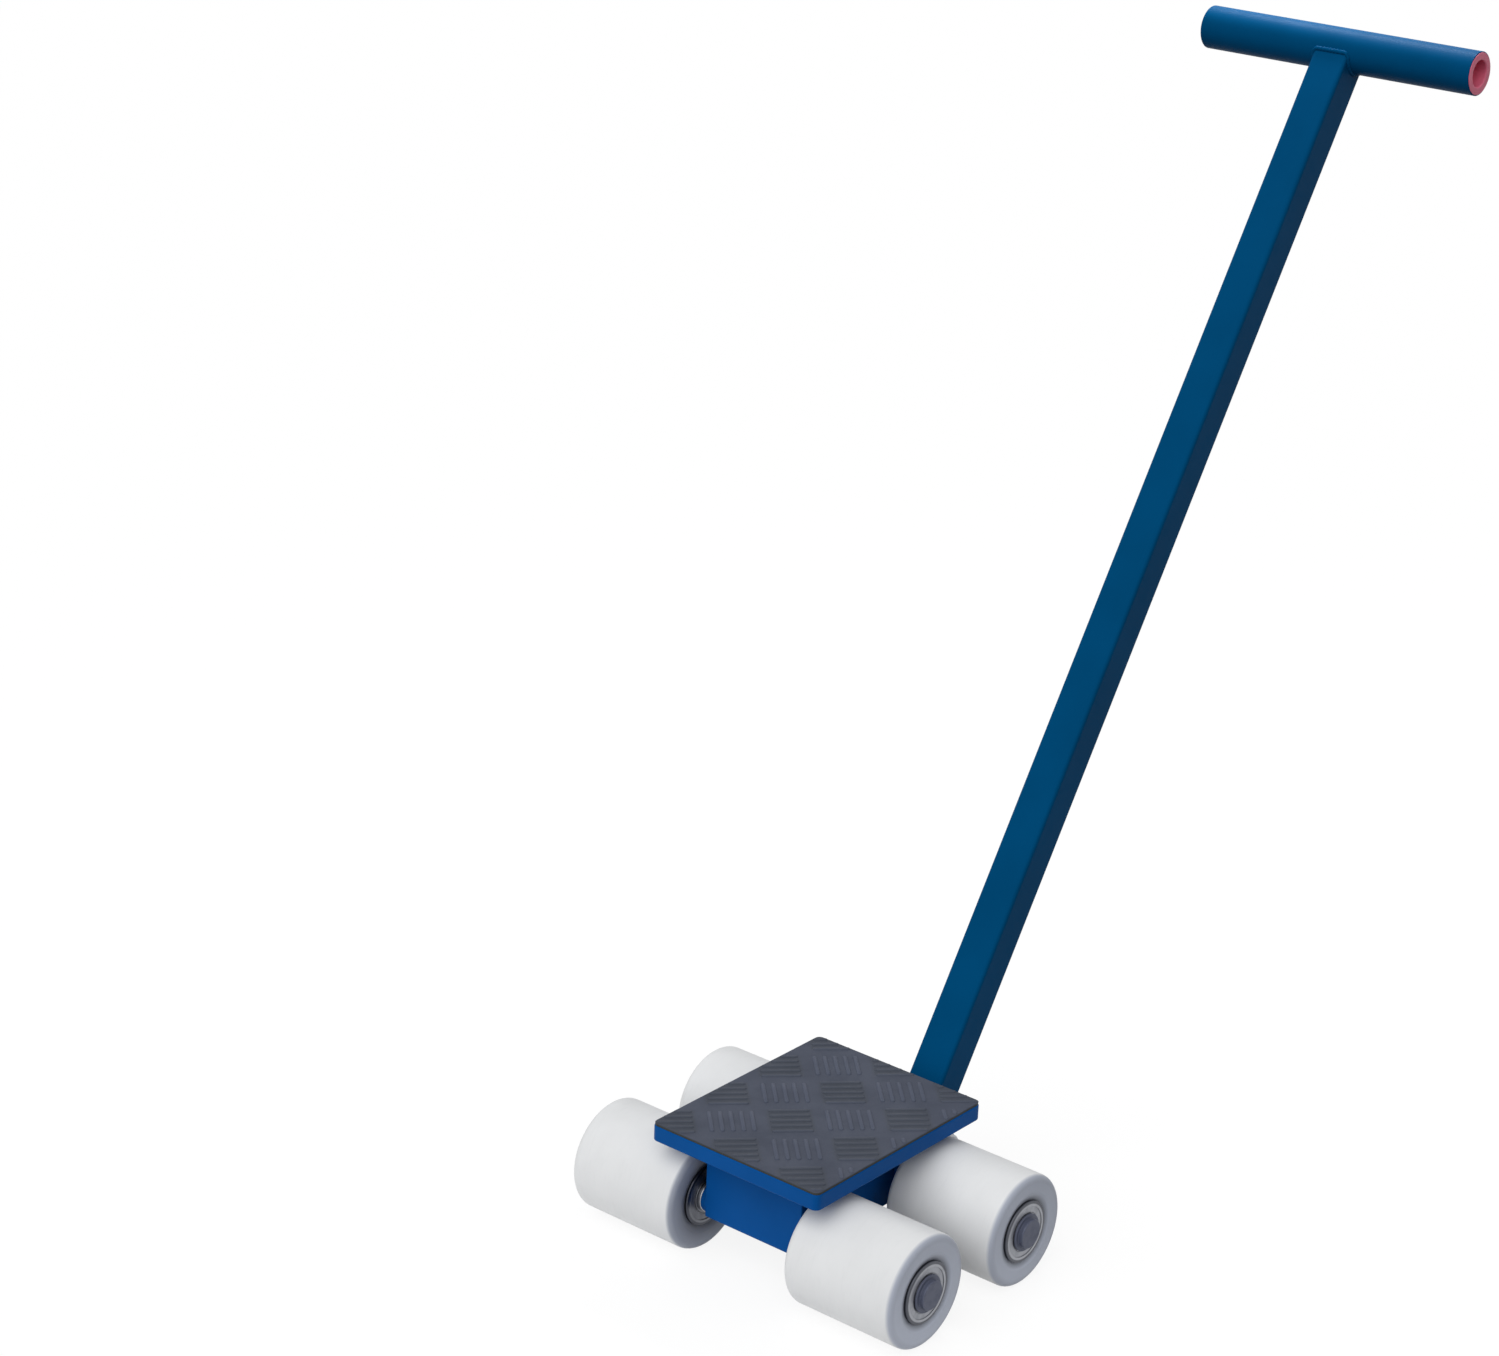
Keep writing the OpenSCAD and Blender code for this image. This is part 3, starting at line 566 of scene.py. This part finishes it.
ringLow, ringHigh = boxOf("spigot")
circlipLow, circlipHigh = boxOf("keeper_circlip")
turntableShape = {"wall": 6.0, "groove": 1.5, "race": 4.05, "ballAway": 2.5, "washerEdge": 0.6}
ringRadius = (ringHigh[0] - ringLow[0]) / 2
innerRadius, grooveRadius = ringRadius - turntableShape["wall"], ringRadius - turntableShape["groove"]
ringProfile = roundCorners(
    [[innerRadius, ringLow[2]], [ringRadius, ringLow[2]], [ringRadius, circlipLow[2]],
     [grooveRadius, circlipLow[2]], [grooveRadius, circlipHigh[2]], [ringRadius, circlipHigh[2]],
     [ringRadius, ringHigh[2]], [innerRadius, ringHigh[2]]],
    [0.6, 0.6, 0.1, 0.1, 0.1, 0.1, 0.1, 0.6], 3)
makePiece(
    "turntableRing", [turned(ringProfile, (0, 0, 0), (0, 0, 1))], bareSteel, "turntable",
    ["spigot"])


def plainRing(outer, inner, low, high, edge, steps=3):
    return roundCorners([[inner, low], [outer, low], [outer, high], [inner, high]], edge, steps)


keeperLow, keeperHigh = boxOf("keeper_ring")
keeperProfile = plainRing(
    (keeperHigh[0] - keeperLow[0]) / 2, ringRadius + 0.02, keeperLow[2], keeperHigh[2], 0.5)
makePiece(
    "keeperRing", [turned(keeperProfile, (0, 0, 0), (0, 0, 1))], bareSteel, "turntable",
    ["keeper_ring"])

for nodeName, pieceName, bodyName, play, face in (
        ("thrust_washer_top", "upperThrustWasher", "turntable", 0.02, -1),
        ("thrust_washer_bottom", "lowerThrustWasher", "chassis", 0.3, 1)):
    washerLow, washerHigh = boxOf(nodeName)
    outer, inner = (washerHigh[0] - washerLow[0]) / 2, ringRadius + play
    raceFace, backFace = (washerHigh[2], washerLow[2]) if face > 0 else (washerLow[2], washerHigh[2])
    path, race, away = (outer + ringRadius) / 2, turntableShape["race"], turntableShape["ballAway"]
    ballZ = raceFace + face * away
    side = math.atan2(math.sqrt(race ** 2 - away ** 2), away)
    sweep = np.linspace(-side, side, 13)
    groove = np.stack([path + race * np.sin(sweep), ballZ - face * race * np.cos(sweep)], axis=1)
    washerCorners = [[inner, raceFace], [inner, backFace], [outer, backFace], [outer, raceFace]]
    washerBody = roundCorners(washerCorners, turntableShape["washerEdge"], 3)
    washerProfile = np.concatenate([washerBody, groove[::-1]])
    makePiece(
        pieceName, [turned(washerProfile, (0, 0, 0), (0, 0, 1), 128)], ringSteel, bodyName,
        [nodeName])
print("skate: the load plate and its turntable are made")


# Welded frame

frameShape = {
    "beamEdge": 2.0, "plateEdge": 0.6, "endBevel": 0.8, "deckPlay": 0.05, "beadRipple": 0.09,
    "beadPitch": 3.2, "beadSize": 3.4, "beadTip": 0.7, "beadInset": 3.0, "earBeadLow": 2.5,
    "earBeadHigh": 0.5}
axleRadius = 8.52  # the bore of what sits on the axles
pinHole = 8.05  # the bore of what sits on the drawbar's pin
for nodeName, pieceName in (("front_beam", "frontCrossBeam"), ("rear_beam", "rearCrossBeam")):
    low, high = boxOf(nodeName)
    middle = (low + high) / 2
    outline = roundedRectangle(high[1] - low[1], high[2] - low[2], frameShape["beamEdge"])
    makePiece(
        pieceName,
        [slab(outline, high[0] - low[0], frameShape["endBevel"], (low[0], middle[1], middle[2]), (1, 0, 0),
              axleRadius, (0, axleZ - middle[2]))],
        framePaint, "chassis", [nodeName])

for nodeName, pieceName in (("left_side_plate", "leftSideWall"), ("right_side_plate", "rightSideWall")):
    low, high = boxOf(nodeName)
    middle = (low + high) / 2
    outline = roundedRectangle(high[1] - low[1], high[2] - low[2], frameShape["plateEdge"], 3)
    makePiece(
        pieceName,
        [slab(outline, high[0] - low[0], frameShape["plateEdge"], (low[0], middle[1], middle[2]), (1, 0, 0))],
        framePaint, "chassis", [nodeName])

deckLow, deckHigh = boxOf("deck_plate")
deckOutline = roundedRectangle(deckHigh[0] - deckLow[0], deckHigh[1] - deckLow[1], frameShape["plateEdge"], 3)
deckHole = ringRadius + frameShape["deckPlay"]
deckThick = deckHigh[2] - deckLow[2]
makePiece(
    "deckWall",
    [slab(deckOutline, deckThick, frameShape["plateEdge"], (0, 0, deckLow[2]), (0, 0, 1), deckHole)],
    framePaint, "chassis", ["deck_plate"])

# An ear is a strip with a round end, seen along the axles
earLow, earHigh = boxOf("right_ear")
pinLow, pinHigh = boxOf("pivot_pin")
pinY = (pinLow[1] + pinHigh[1]) / 2
pinZ = (pinLow[2] + pinHigh[2]) / 2
earRadius = (earHigh[2] - earLow[2]) / 2
earTurn = np.linspace(-math.pi / 2, math.pi / 2, 33)
earRoot = earLow[1] - pinY
earCorners = [[earRoot, earRadius], [earRoot, -earRadius], [0, -earRadius], [0, earRadius]]
earOutline = np.concatenate([
    roundCorners(earCorners, frameShape["plateEdge"], 3)[:2 * perCorner(3)],
    earRadius * np.stack([np.cos(earTurn), np.sin(earTurn)], axis=1)])
for nodeName, pieceName in (("left_ear", "leftDrawbarEar"), ("right_ear", "rightDrawbarEar")):
    low, high = boxOf(nodeName)
    makePiece(
        pieceName,
        [slab(
            earOutline, high[0] - low[0], frameShape["endBevel"], (low[0], pinY, pinZ), (1, 0, 0), pinHole)],
        framePaint, "chassis", [nodeName])

# Collars with a weld bead round their roots
collarShape = {"edge": 0.4, "bead": 1.1}
collarLow, collarHigh = boxOf("axle_bosses")
beamEnd = boxOf("front_beam")[1][0]
collarRadius = (collarHigh[2] - collarLow[2]) / 2
collars = []
for sideX in (-1, 1):
    for row in (-1, 1):
        start = (0, row * axleY, axleZ)
        profile = plainRing(collarRadius, axleRadius, beamEnd - 0.2, collarHigh[0], collarShape["edge"])
        collars.append(turned(profile, start, (sideX, 0, 0)))
        turn = np.linspace(0, 2 * math.pi, 145)[:-1]
        radial = np.stack([turn * 0, np.cos(turn), np.sin(turn)], axis=1)
        ringPath = np.array([sideX * (beamEnd + 0.1), row * axleY, axleZ]) + radial * (collarRadius + 0.1)
        along = np.broadcast_to([1.0, 0, 0], radial.shape)
        size = collarShape["bead"] * (1 + 0.10 * np.sin(24 * turn))
        collars.append(beadAlong(ringPath, -along, radial, size, True, 10))
makePiece("axleCollars", collars, framePaint, "chassis", ["axle_bosses"])

# Fillet beads that stand in the corners of the frame
beamLow, beamHigh = boxOf("front_beam")
sideOut = boxOf("right_side_plate")[1][0]
sideBead = beamLow[2] + frameShape["beadInset"], beamHigh[2] - frameShape["beadInset"]
earBead = beamLow[2] + frameShape["earBeadLow"], earHigh[2] - frameShape["earBeadHigh"]
beads = []
for x, y, (zLow, zHigh) in (
        [(sx * sideOut, sy * deckHigh[1], sideBead) for sx in (-1, 1) for sy in (-1, 1)]
        + [(sx * earX, earLow[1], earBead) for sx in (-1, 1) for earX in (earLow[0], earHigh[0])]):
    z = np.linspace(zLow, zHigh, 61)
    path = np.stack([z * 0 + x, z * 0 + y, z], axis=1)
    size = rippled(path, frameShape["beadSize"], frameShape["beadRipple"], frameShape["beadPitch"])
    size[[0, -1]] *= frameShape["beadTip"]
    first = np.broadcast_to([1.0, 0, 0], path.shape)
    second = np.broadcast_to([0, 1.0, 0], path.shape)
    beads.append(beadAlong(path, first, second, size, sides=16))
makePiece("frameBeads", beads, framePaint, "chassis", ["frame_welds"])
print("skate: the welded frame is made")


# Rollers and their bearings

rollerShape = {"edge": 5.0, "dish": 2.2, "dishRadius": 29.5, "bore": 18.6, "dishEdge": 3.0}
bearingShape = {
    "inset": 0.0, "width": 14.0, "outer": 23.5, "bore": 8.5, "outerShoulder": 18.6, "innerShoulder": 13.4,
    "edge": 0.9, "shieldSeat": 19.4, "shieldInset": 0.3, "shieldThick": 0.6}
spots = {
    "fl": ("FrontLeft", -1, -1), "fr": ("FrontRight", 1, -1), "rl": ("RearLeft", -1, 1),
    "rr": ("RearRight", 1, 1)}
inEnd, outEnd = rollerLow[0], rollerHigh[0]
r, s = rollerShape, bearingShape
bearingStarts = (inEnd + s["inset"], outEnd - s["inset"] - s["width"])
seatIn, seatOut = bearingStarts[0] + s["width"], bearingStarts[1]
rollerProfile = roundCorners(
    [[r["bore"], seatIn], [s["outer"] + 0.02, seatIn], [s["outer"] + 0.02, inEnd + r["dish"]],
     [r["dishRadius"], inEnd], [rollerRadius, inEnd], [rollerRadius, outEnd], [r["dishRadius"], outEnd],
     [s["outer"] + 0.02, outEnd - r["dish"]],
     [s["outer"] + 0.02, seatOut], [r["bore"], seatOut]],
    [0.3, 0.1, 0.2, r["dishEdge"], r["edge"], r["edge"], r["dishEdge"], 0.2, 0.1, 0.3], 8, 0.25)


def outerRingProfile(start):
    end = start + s["width"]
    step = s["shieldInset"] + s["shieldThick"]
    return roundCorners(
        [[s["outerShoulder"], start + step], [s["shieldSeat"], start + step], [s["shieldSeat"], start],
         [s["outer"], start], [s["outer"], end], [s["shieldSeat"], end], [s["shieldSeat"], end - step],
         [s["outerShoulder"], end - step]],
        [0.1, 0.05, 0.15, s["edge"], s["edge"], 0.15, 0.05, 0.1], 4, 0.4)


# A pressed shield: flat, with a rim rolled into its seat and a shallow step by the inner ring
def shieldProfile(start, outward):
    base = start + (s["width"] - s["shieldInset"] if outward else s["shieldInset"])
    way = -1 if outward else 1
    inner, outer, thick = s["innerShoulder"] + 0.3, s["shieldSeat"] - 0.02, s["shieldThick"]
    face = np.array([
        [inner, 0.25], [inner + 0.9, 0.25], [inner + 1.3, 0.0], [outer - 0.9, 0.0], [outer - 0.5, 0.15],
        [outer, 0.15]])
    back = face[::-1] + [0, thick]
    loop = np.concatenate([face, back])
    return roundCorners(loop * [1, way] + [0, base], 0.08, 2)


for corner, (word, sideX, row) in spots.items():
    start, way = (0, row * axleY, axleZ), (sideX, 0, 0)
    body = "roller_unit_" + corner
    makePiece(
        "roller" + word, [turned(rollerProfile, start, way, 144)], nylon, body,
        ["roller_" + corner])
    makePiece(
        "bearingRings" + word, [turned(outerRingProfile(b), start, way) for b in bearingStarts],
        ringSteel, body, ["outer_rings_" + corner])
    makePiece(
        "bearingShields" + word,
        [turned(shieldProfile(b, o), start, way) for b in bearingStarts for o in (False, True)],
        shieldSteel, body, ["shields_" + corner])

axleEnds = [((0, row * axleY, axleZ), (sideX, 0, 0)) for sideX in (-1, 1) for row in (-1, 1)]
innerRingShape = [
    plainRing(s["innerShoulder"], s["bore"] + 0.02, b, b + s["width"], [0.7, 0.3, 0.3, 0.7])
    for b in bearingStarts]
makePiece(
    "innerRings", [turned(p, *end) for end in axleEnds for p in innerRingShape],
    ringSteel, "chassis", ["inner_rings"])

spacerShape = {"radius": 12.0, "edge": 0.6}
spacerProfile = plainRing(
    spacerShape["radius"], axleRadius, collarHigh[0], bearingStarts[0], spacerShape["edge"])
makePiece(
    "axleSpacers", [turned(spacerProfile, *end) for end in axleEnds], bareSteel, "chassis",
    ["axle_spacers"])

# Plugs in the axle ends: a shank, a thin flange on the bearing and a plain round head
endPlugShape = {
    "shank": 5.0, "length": 25.0, "flange": 14.2, "flangeThick": 1.5, "head": 11.0, "edge": 0.7,
    "flangeEdge": 0.5}
plugIn, plugOut = bearingStarts[1] + s["width"], boxOf("axle_end_plugs")[1][0]
w = endPlugShape
endPlugProfile = roundCorners(
    [[0, plugIn - w["length"]], [w["shank"], plugIn - w["length"]], [w["shank"], plugIn],
     [w["flange"], plugIn], [w["flange"], plugIn + w["flangeThick"]], [w["head"], plugIn + w["flangeThick"]],
     [w["head"], plugOut], [0, plugOut]],
    [0.05, 0.8, 0.2, 0.3, w["flangeEdge"], 0.3, w["edge"], 0.05], 4)
makePiece(
    "axleEndPlugs", [turned(endPlugProfile, *end) for end in axleEnds], darkSteel, "chassis",
    ["axle_end_plugs"])
print("skate: the rollers and axle ends are made")


# Drawbar

drawbarShape = {
    "tubeCorner": 3.0, "tubeWall": 1.0, "sleeveWall": 7.45, "sleeveEdge": 0.6, "barWall": 1.5, "barEdge": 0.4,
    "bead": 1.8, "ripple": 0.07, "beadPitch": 3.0}
barLow, barHigh = boxOf("tee_bar")
sleeveLow, sleeveHigh = boxOf("pivot_sleeve")
tubeLow, tubeHigh = boxOf("handle_tube")
hinge = np.array([0, pinY, pinZ])
barMiddle = (barLow + barHigh) / 2
barMiddle[0] = 0
barRadius = (barHigh[2] - barLow[2]) / 2
barEnd = barHigh[0]
sleeveRadius = (sleeveHigh[2] - sleeveLow[2]) / 2
tubeWide = tubeHigh[0] - tubeLow[0]
drawbarLength = np.linalg.norm(barMiddle - hinge)
drawbarAxes = axesOf(barMiddle - hinge)


# A square tube whose two ends follow round tubes: at each point the end's height is the round tube's
# middle, less or plus the square root of its radius squared less the cross place squared
def saddledTube(outline, inner, lowRadius, highRadius, length, rows=25):
    t = np.linspace(0, 1, rows)[:, None]
    crosses = [line[:, 1] ** 2 for line in (outline, inner)]
    outerLow, innerLow = (np.sqrt(lowRadius ** 2 - np.minimum(c, lowRadius ** 2 * 0.98)) for c in crosses)
    outerHigh, innerHigh = (length - np.sqrt(highRadius ** 2 - c) for c in crosses)
    height = np.concatenate([outerLow + t * (outerHigh - outerLow), innerHigh + t * (innerLow - innerHigh)])
    flat = np.concatenate([np.broadcast_to(line, (rows, *line.shape)) for line in (outline, inner)])
    return placed(flat, height, hinge, drawbarAxes), gridFaces(2 * rows, len(outline))


b = drawbarShape
tubeOutline = densified(roundedRectangle(tubeWide, tubeWide, b["tubeCorner"], 6), 1.6)
tubeInner = tubeOutline - b["tubeWall"] * normalsOf(tubeOutline)
makePiece(
    "drawbarTube", [saddledTube(tubeOutline, tubeInner, sleeveRadius - 0.2, barRadius - 0.2, drawbarLength)],
    drawbarPaint, "drawbar", ["handle_tube"])

sleeveProfile = plainRing(
    sleeveRadius, sleeveRadius - b["sleeveWall"], sleeveLow[0], sleeveHigh[0], b["sleeveEdge"])
makePiece(
    "drawbarSleeve", [turned(sleeveProfile, hinge, (1, 0, 0))], drawbarPaint, "drawbar",
    ["pivot_sleeve"])

barProfile = plainRing(barRadius, barRadius - b["barWall"], -barEnd, barEnd, b["barEdge"], 4)
makePiece(
    "crossTube", [turned(barProfile, barMiddle, (1, 0, 0), 128)], drawbarPaint, "drawbar",
    ["tee_bar"])

# A bead round the square tube, on the round tube that it meets
dense = densified(roundedRectangle(tubeWide, tubeWide, b["tubeCorner"], 6), 0.5)
denseNormal = normalsOf(dense)
drawbarBeads = []
for radius, base, way in ((sleeveRadius, 0.0, 1), (barRadius, drawbarLength, -1)):
    height = base + way * np.sqrt(np.maximum(radius ** 2 - dense[:, 1] ** 2, 4.0))
    path = placed(dense + 0.2 * denseNormal, height, hinge, drawbarAxes)
    size = rippled(path, b["bead"], b["ripple"], b["beadPitch"])
    first = placed(denseNormal, height * 0, (0, 0, 0), drawbarAxes)
    second = np.broadcast_to(-drawbarAxes[2], first.shape)
    drawbarBeads.append(beadAlong(path, first, second, size, True, 12))
makePiece("drawbarBeads", drawbarBeads, drawbarPaint, "drawbar", ["drawbar_welds"])

# Red plugs: a thin rounded rim against the tube's end, and a deep round cup inside it
plugShape = {"rimEdge": 0.35, "rimLess": 0.8, "wall": 5.0, "floor": 5.0, "mouth": 0.9}
capLow, capHigh = boxOf("right_cap")
plugRadius = barRadius - b["barWall"] - 0.02
p = plugShape
plugProfile = roundCorners(
    [[0, capLow[0] + p["floor"]], [plugRadius - p["wall"], capLow[0] + p["floor"]],
     [plugRadius - p["wall"], capHigh[0]],
     [barRadius - p["rimLess"], capHigh[0]], [barRadius - p["rimLess"], barEnd], [plugRadius, barEnd],
     [plugRadius, capLow[0]], [0, capLow[0]]],
    [0.05, 0.8, p["mouth"], p["rimEdge"], 0.1, 0.1, 0.8, 0.05], 5, 0.3)
for sideX, pieceName, nodeName in ((-1, "leftPlug", "left_cap"), (1, "rightPlug", "right_cap")):
    makePiece(
        pieceName, [turned(plugProfile, barMiddle, (sideX, 0, 0))], capRed, "drawbar",
        [nodeName])
print("skate: the drawbar is made")


# Hinge pin, its washers and the split pin

pinShape = {"radius": 8.0, "head": 12.0, "headThick": 5.0, "edge": 0.8, "tailEdge": 1.2}
n = pinShape
headIn = pinHigh[0] - n["headThick"]
pinProfile = roundCorners(
    [[0, pinLow[0]], [n["radius"], pinLow[0]], [n["radius"], headIn], [n["head"], headIn],
     [n["head"], pinHigh[0]], [0, pinHigh[0]]],
    [0.05, n["tailEdge"], 0.1, n["edge"], n["edge"], 0.05], 5)
makePiece(
    "hingePin", [turned(pinProfile, hinge, (1, 0, 0))], zincSteel, "chassis",
    ["pivot_pin"])

washerShape = {"thick": 2.5, "edge": 0.35}
washerLow, washerHigh = boxOf("pivot_washers")
washerRadius, washerThick = (washerHigh[2] - washerLow[2]) / 2, washerShape["thick"]
washers = [
    turned(plainRing(washerRadius, pinHole, x, x + washerThick, washerShape["edge"]), hinge, (1, 0, 0))
    for x in (washerLow[0], -earLow[0], earLow[0] - washerThick)]
makePiece("hingeWashers", washers, zincSteel, "chassis", ["pivot_washers"])

# Split pin: one wire, up one leg, round the eye and down the other, with the tips bent apart
splitShape = {"wire": 0.95, "gap": 1.0, "eye": 3.2, "spread": 5.0, "top": 9.6, "bottom": -9.4}
splitLow, splitHigh = boxOf("split_pin")
q = splitShape
splitX = (splitLow[0] + splitHigh[0]) / 2
top, bottom = q["top"], q["bottom"]
eyeTurn = np.linspace(-0.40 * math.pi, 1.40 * math.pi, 41)
eye = np.stack([q["eye"] * np.cos(eyeTurn), top + q["eye"] * 1.05 + q["eye"] * np.sin(eyeTurn)], axis=1)
leg = np.array([
    [q["spread"], bottom - 3.6], [q["spread"] * 0.66, bottom - 2.2], [q["gap"] * 1.4, bottom - 0.5],
    [q["gap"], bottom + 1.5], [q["gap"], 0], [q["gap"], top - 1.6]])
wire = np.concatenate([leg, eye, (leg * [-1, 1])[::-1]])


# A smooth line through the points: between two of them it is a cubic in the share of the way, which leaves
# each point in the direction from the point before it to the point after it
def smoothLine(points, steps=4):
    before = np.concatenate([points[:1], points[:-2]])
    after = np.concatenate([points[2:], points[-1:]])
    a, c = points[:-1], points[1:]
    t = np.linspace(0, 1, steps, endpoint=False)[None, :, None]
    a, c, before, after = (v[:, None] for v in (a, c, before, after))
    square, cube = 2 * before - 5 * a + 4 * c - after, 3 * a - before - 3 * c + after
    line = 0.5 * (2 * a + (c - before) * t + square * t ** 2 + cube * t ** 3)
    return np.concatenate([line.reshape(-1, points.shape[1]), points[-1:]])


wire = smoothLine(wire)
wirePath = np.stack([wire[:, 0] * 0 + splitX, pinY + wire[:, 0], pinZ + wire[:, 1]], axis=1)
tangent = np.gradient(wirePath, axis=0)
tangent /= np.linalg.norm(tangent, axis=1)[:, None]
second = np.broadcast_to([1.0, 0, 0], tangent.shape)
first = np.cross(second, tangent)
makePiece(
    "splitPinWire", [beadAlong(wirePath, first, second, q["wire"], sides=12)],
    zincSteel, "chassis", ["split_pin"])
print("skate: the hinge is made")


# Camera, at the photograph's viewing angle: turned about the skate, tipped, rolled, and set back along its
# own axis

view = {
    "azimuth": 39.13, "elevation": 20.95, "roll": 2.28, "sideways": 45.46, "upwards": -411.59,
    "distance": 2594.62, "focalPixels": 3554.97, "photoWidth": 1499}
turn, tip, roll = (math.radians(view[k]) for k in ("azimuth", "elevation", "roll"))
backward = np.array([math.sin(turn) * math.cos(tip), -math.cos(turn) * math.cos(tip), math.sin(tip)])
level = np.cross([0, 0, 1.0], backward)
level /= np.linalg.norm(level)
upright = np.cross(backward, level)
right = math.cos(roll) * level + math.sin(roll) * upright
up = math.cos(roll) * upright - math.sin(roll) * level
spot = (-view["sideways"] * right - view["upwards"] * up + view["distance"] * backward) * mm
camera = bpy.data.objects.new("camera", bpy.data.cameras.new("camera"))
bpy.context.scene.collection.objects.link(camera)
camera.data.sensor_fit = "HORIZONTAL"
camera.data.sensor_width = 36.0
camera.data.lens = view["focalPixels"] * camera.data.sensor_width / view["photoWidth"]
camera.data.clip_start, camera.data.clip_end = 0.05, 100.0
camera.matrix_world = Matrix([[right[k], up[k], backward[k], spot[k]] for k in range(3)] + [[0, 0, 0, 1]])
bpy.context.scene.camera = camera


# Light: an even pale surround, one broad soft light from the front and above, and a small soft lamp behind
# and above the cross tube. The floor throws light back up near a place at the skate's front, and little
# further away.

light = {
    "surround": 0.45, "key": 1.82, "keyFrom": (0.05, -0.70, 0.70), "keySpread": 70, "floorShadow": 0.15,
    "floorGlow": 1.025, "floorReach": 30.0, "nearBounce": 0.85, "farBounce": 0.08,
    "bounceMiddle": (-0.05, -0.14, 0), "bounceFrom": 0.17, "bounceTo": 0.44,
    "rim": 2.1, "rimFrom": (-0.28, 0.40, 0.87), "rimAway": 0.30, "rimSize": (0.34, 0.12)}
sun = bpy.data.objects.new("softKey", bpy.data.lights.new("softKey", "SUN"))
bpy.context.scene.collection.objects.link(sun)
sun.data.energy = light["key"]
sun.data.angle = math.radians(light["keySpread"])
sun.matrix_world = Matrix(axesOf(light["keyFrom"]).T.tolist()).to_4x4()
rimLight = bpy.data.objects.new("softRim", bpy.data.lights.new("softRim", "AREA"))
bpy.context.scene.collection.objects.link(rimLight)
rimLight.data.shape = "RECTANGLE"
rimLight.data.size, rimLight.data.size_y = light["rimSize"]
rimLight.data.energy = light["rim"]
rimLight.visible_camera = False
rimAxes = axesOf(light["rimFrom"])
rimSpot = barMiddle * mm + light["rimAway"] * rimAxes[2]
rimLight.matrix_world = Matrix([[*rimAxes[:, k], rimSpot[k]] for k in range(3)] + [[0, 0, 0, 1]])


# 1 for the rays that show a surround straight, in a mirror or through glass
def seenRays(g):
    rays = g.node("ShaderNodeLightPath")
    return g.math("MINIMUM", rays["Is Camera Ray"] + rays["Is Glossy Ray"] + rays["Is Transmission Ray"], 1.0)


world = bpy.data.worlds.new("paleSurround")
world.use_nodes = True
bpy.context.scene.world = world
w = Graph("", world.node_tree)
ambient = w.node("ShaderNodeBackground", {}, {"Color": (1, 1, 1, 1), "Strength": light["surround"]})
shown = w.node("ShaderNodeBackground", {}, {"Color": (1, 1, 1, 1), "Strength": 1.0})
blended = w.node("ShaderNodeMixShader", {}, {0: seenRays(w), 1: ambient, 2: shown})
w.node("ShaderNodeOutputWorld", {}, {"Surface": blended})

f = Graph("paleFloor")
seen = seenRays(f)
away = f.node(
    "ShaderNodeVectorMath", {"operation": "DISTANCE"}, {0: f.place(), 1: light["bounceMiddle"]}, "Value")
faded = f.ranged(away, light["bounceFrom"], light["bounceTo"])
bounce = light["nearBounce"] + (light["farBounce"] - light["nearBounce"]) * faded
shade = bounce + (1 - bounce) * seen
grey = f.node("ShaderNodeCombineColor", {}, {"Red": shade, "Green": shade, "Blue": shade})
diffuse = f.node("ShaderNodeBsdfDiffuse", {}, {"Color": grey})
glow = f.node("ShaderNodeEmission", {}, {"Color": (1, 1, 1, 1), "Strength": light["floorGlow"]})
floorShader = f.node("ShaderNodeMixShader", {}, {0: seen * (1 - light["floorShadow"]), 1: diffuse, 2: glow})
f.node("ShaderNodeOutputMaterial", {}, {"Surface": floorShader})
floorMesh = bpy.data.meshes.new("paleFloor")
reach = light["floorReach"]
floorCorners = [(-reach, -reach, 0), (reach, -reach, 0), (reach, reach, 0), (-reach, reach, 0)]
floorMesh.from_pydata(floorCorners, [], [(0, 1, 2, 3)])
floorMesh.materials.append(f.material)
floor = bpy.data.objects.new("paleFloor", floorMesh)
bpy.context.scene.collection.objects.link(floor)

bpy.context.scene.view_settings.view_transform = "Standard"
print("skate: the camera, light and floor are set")
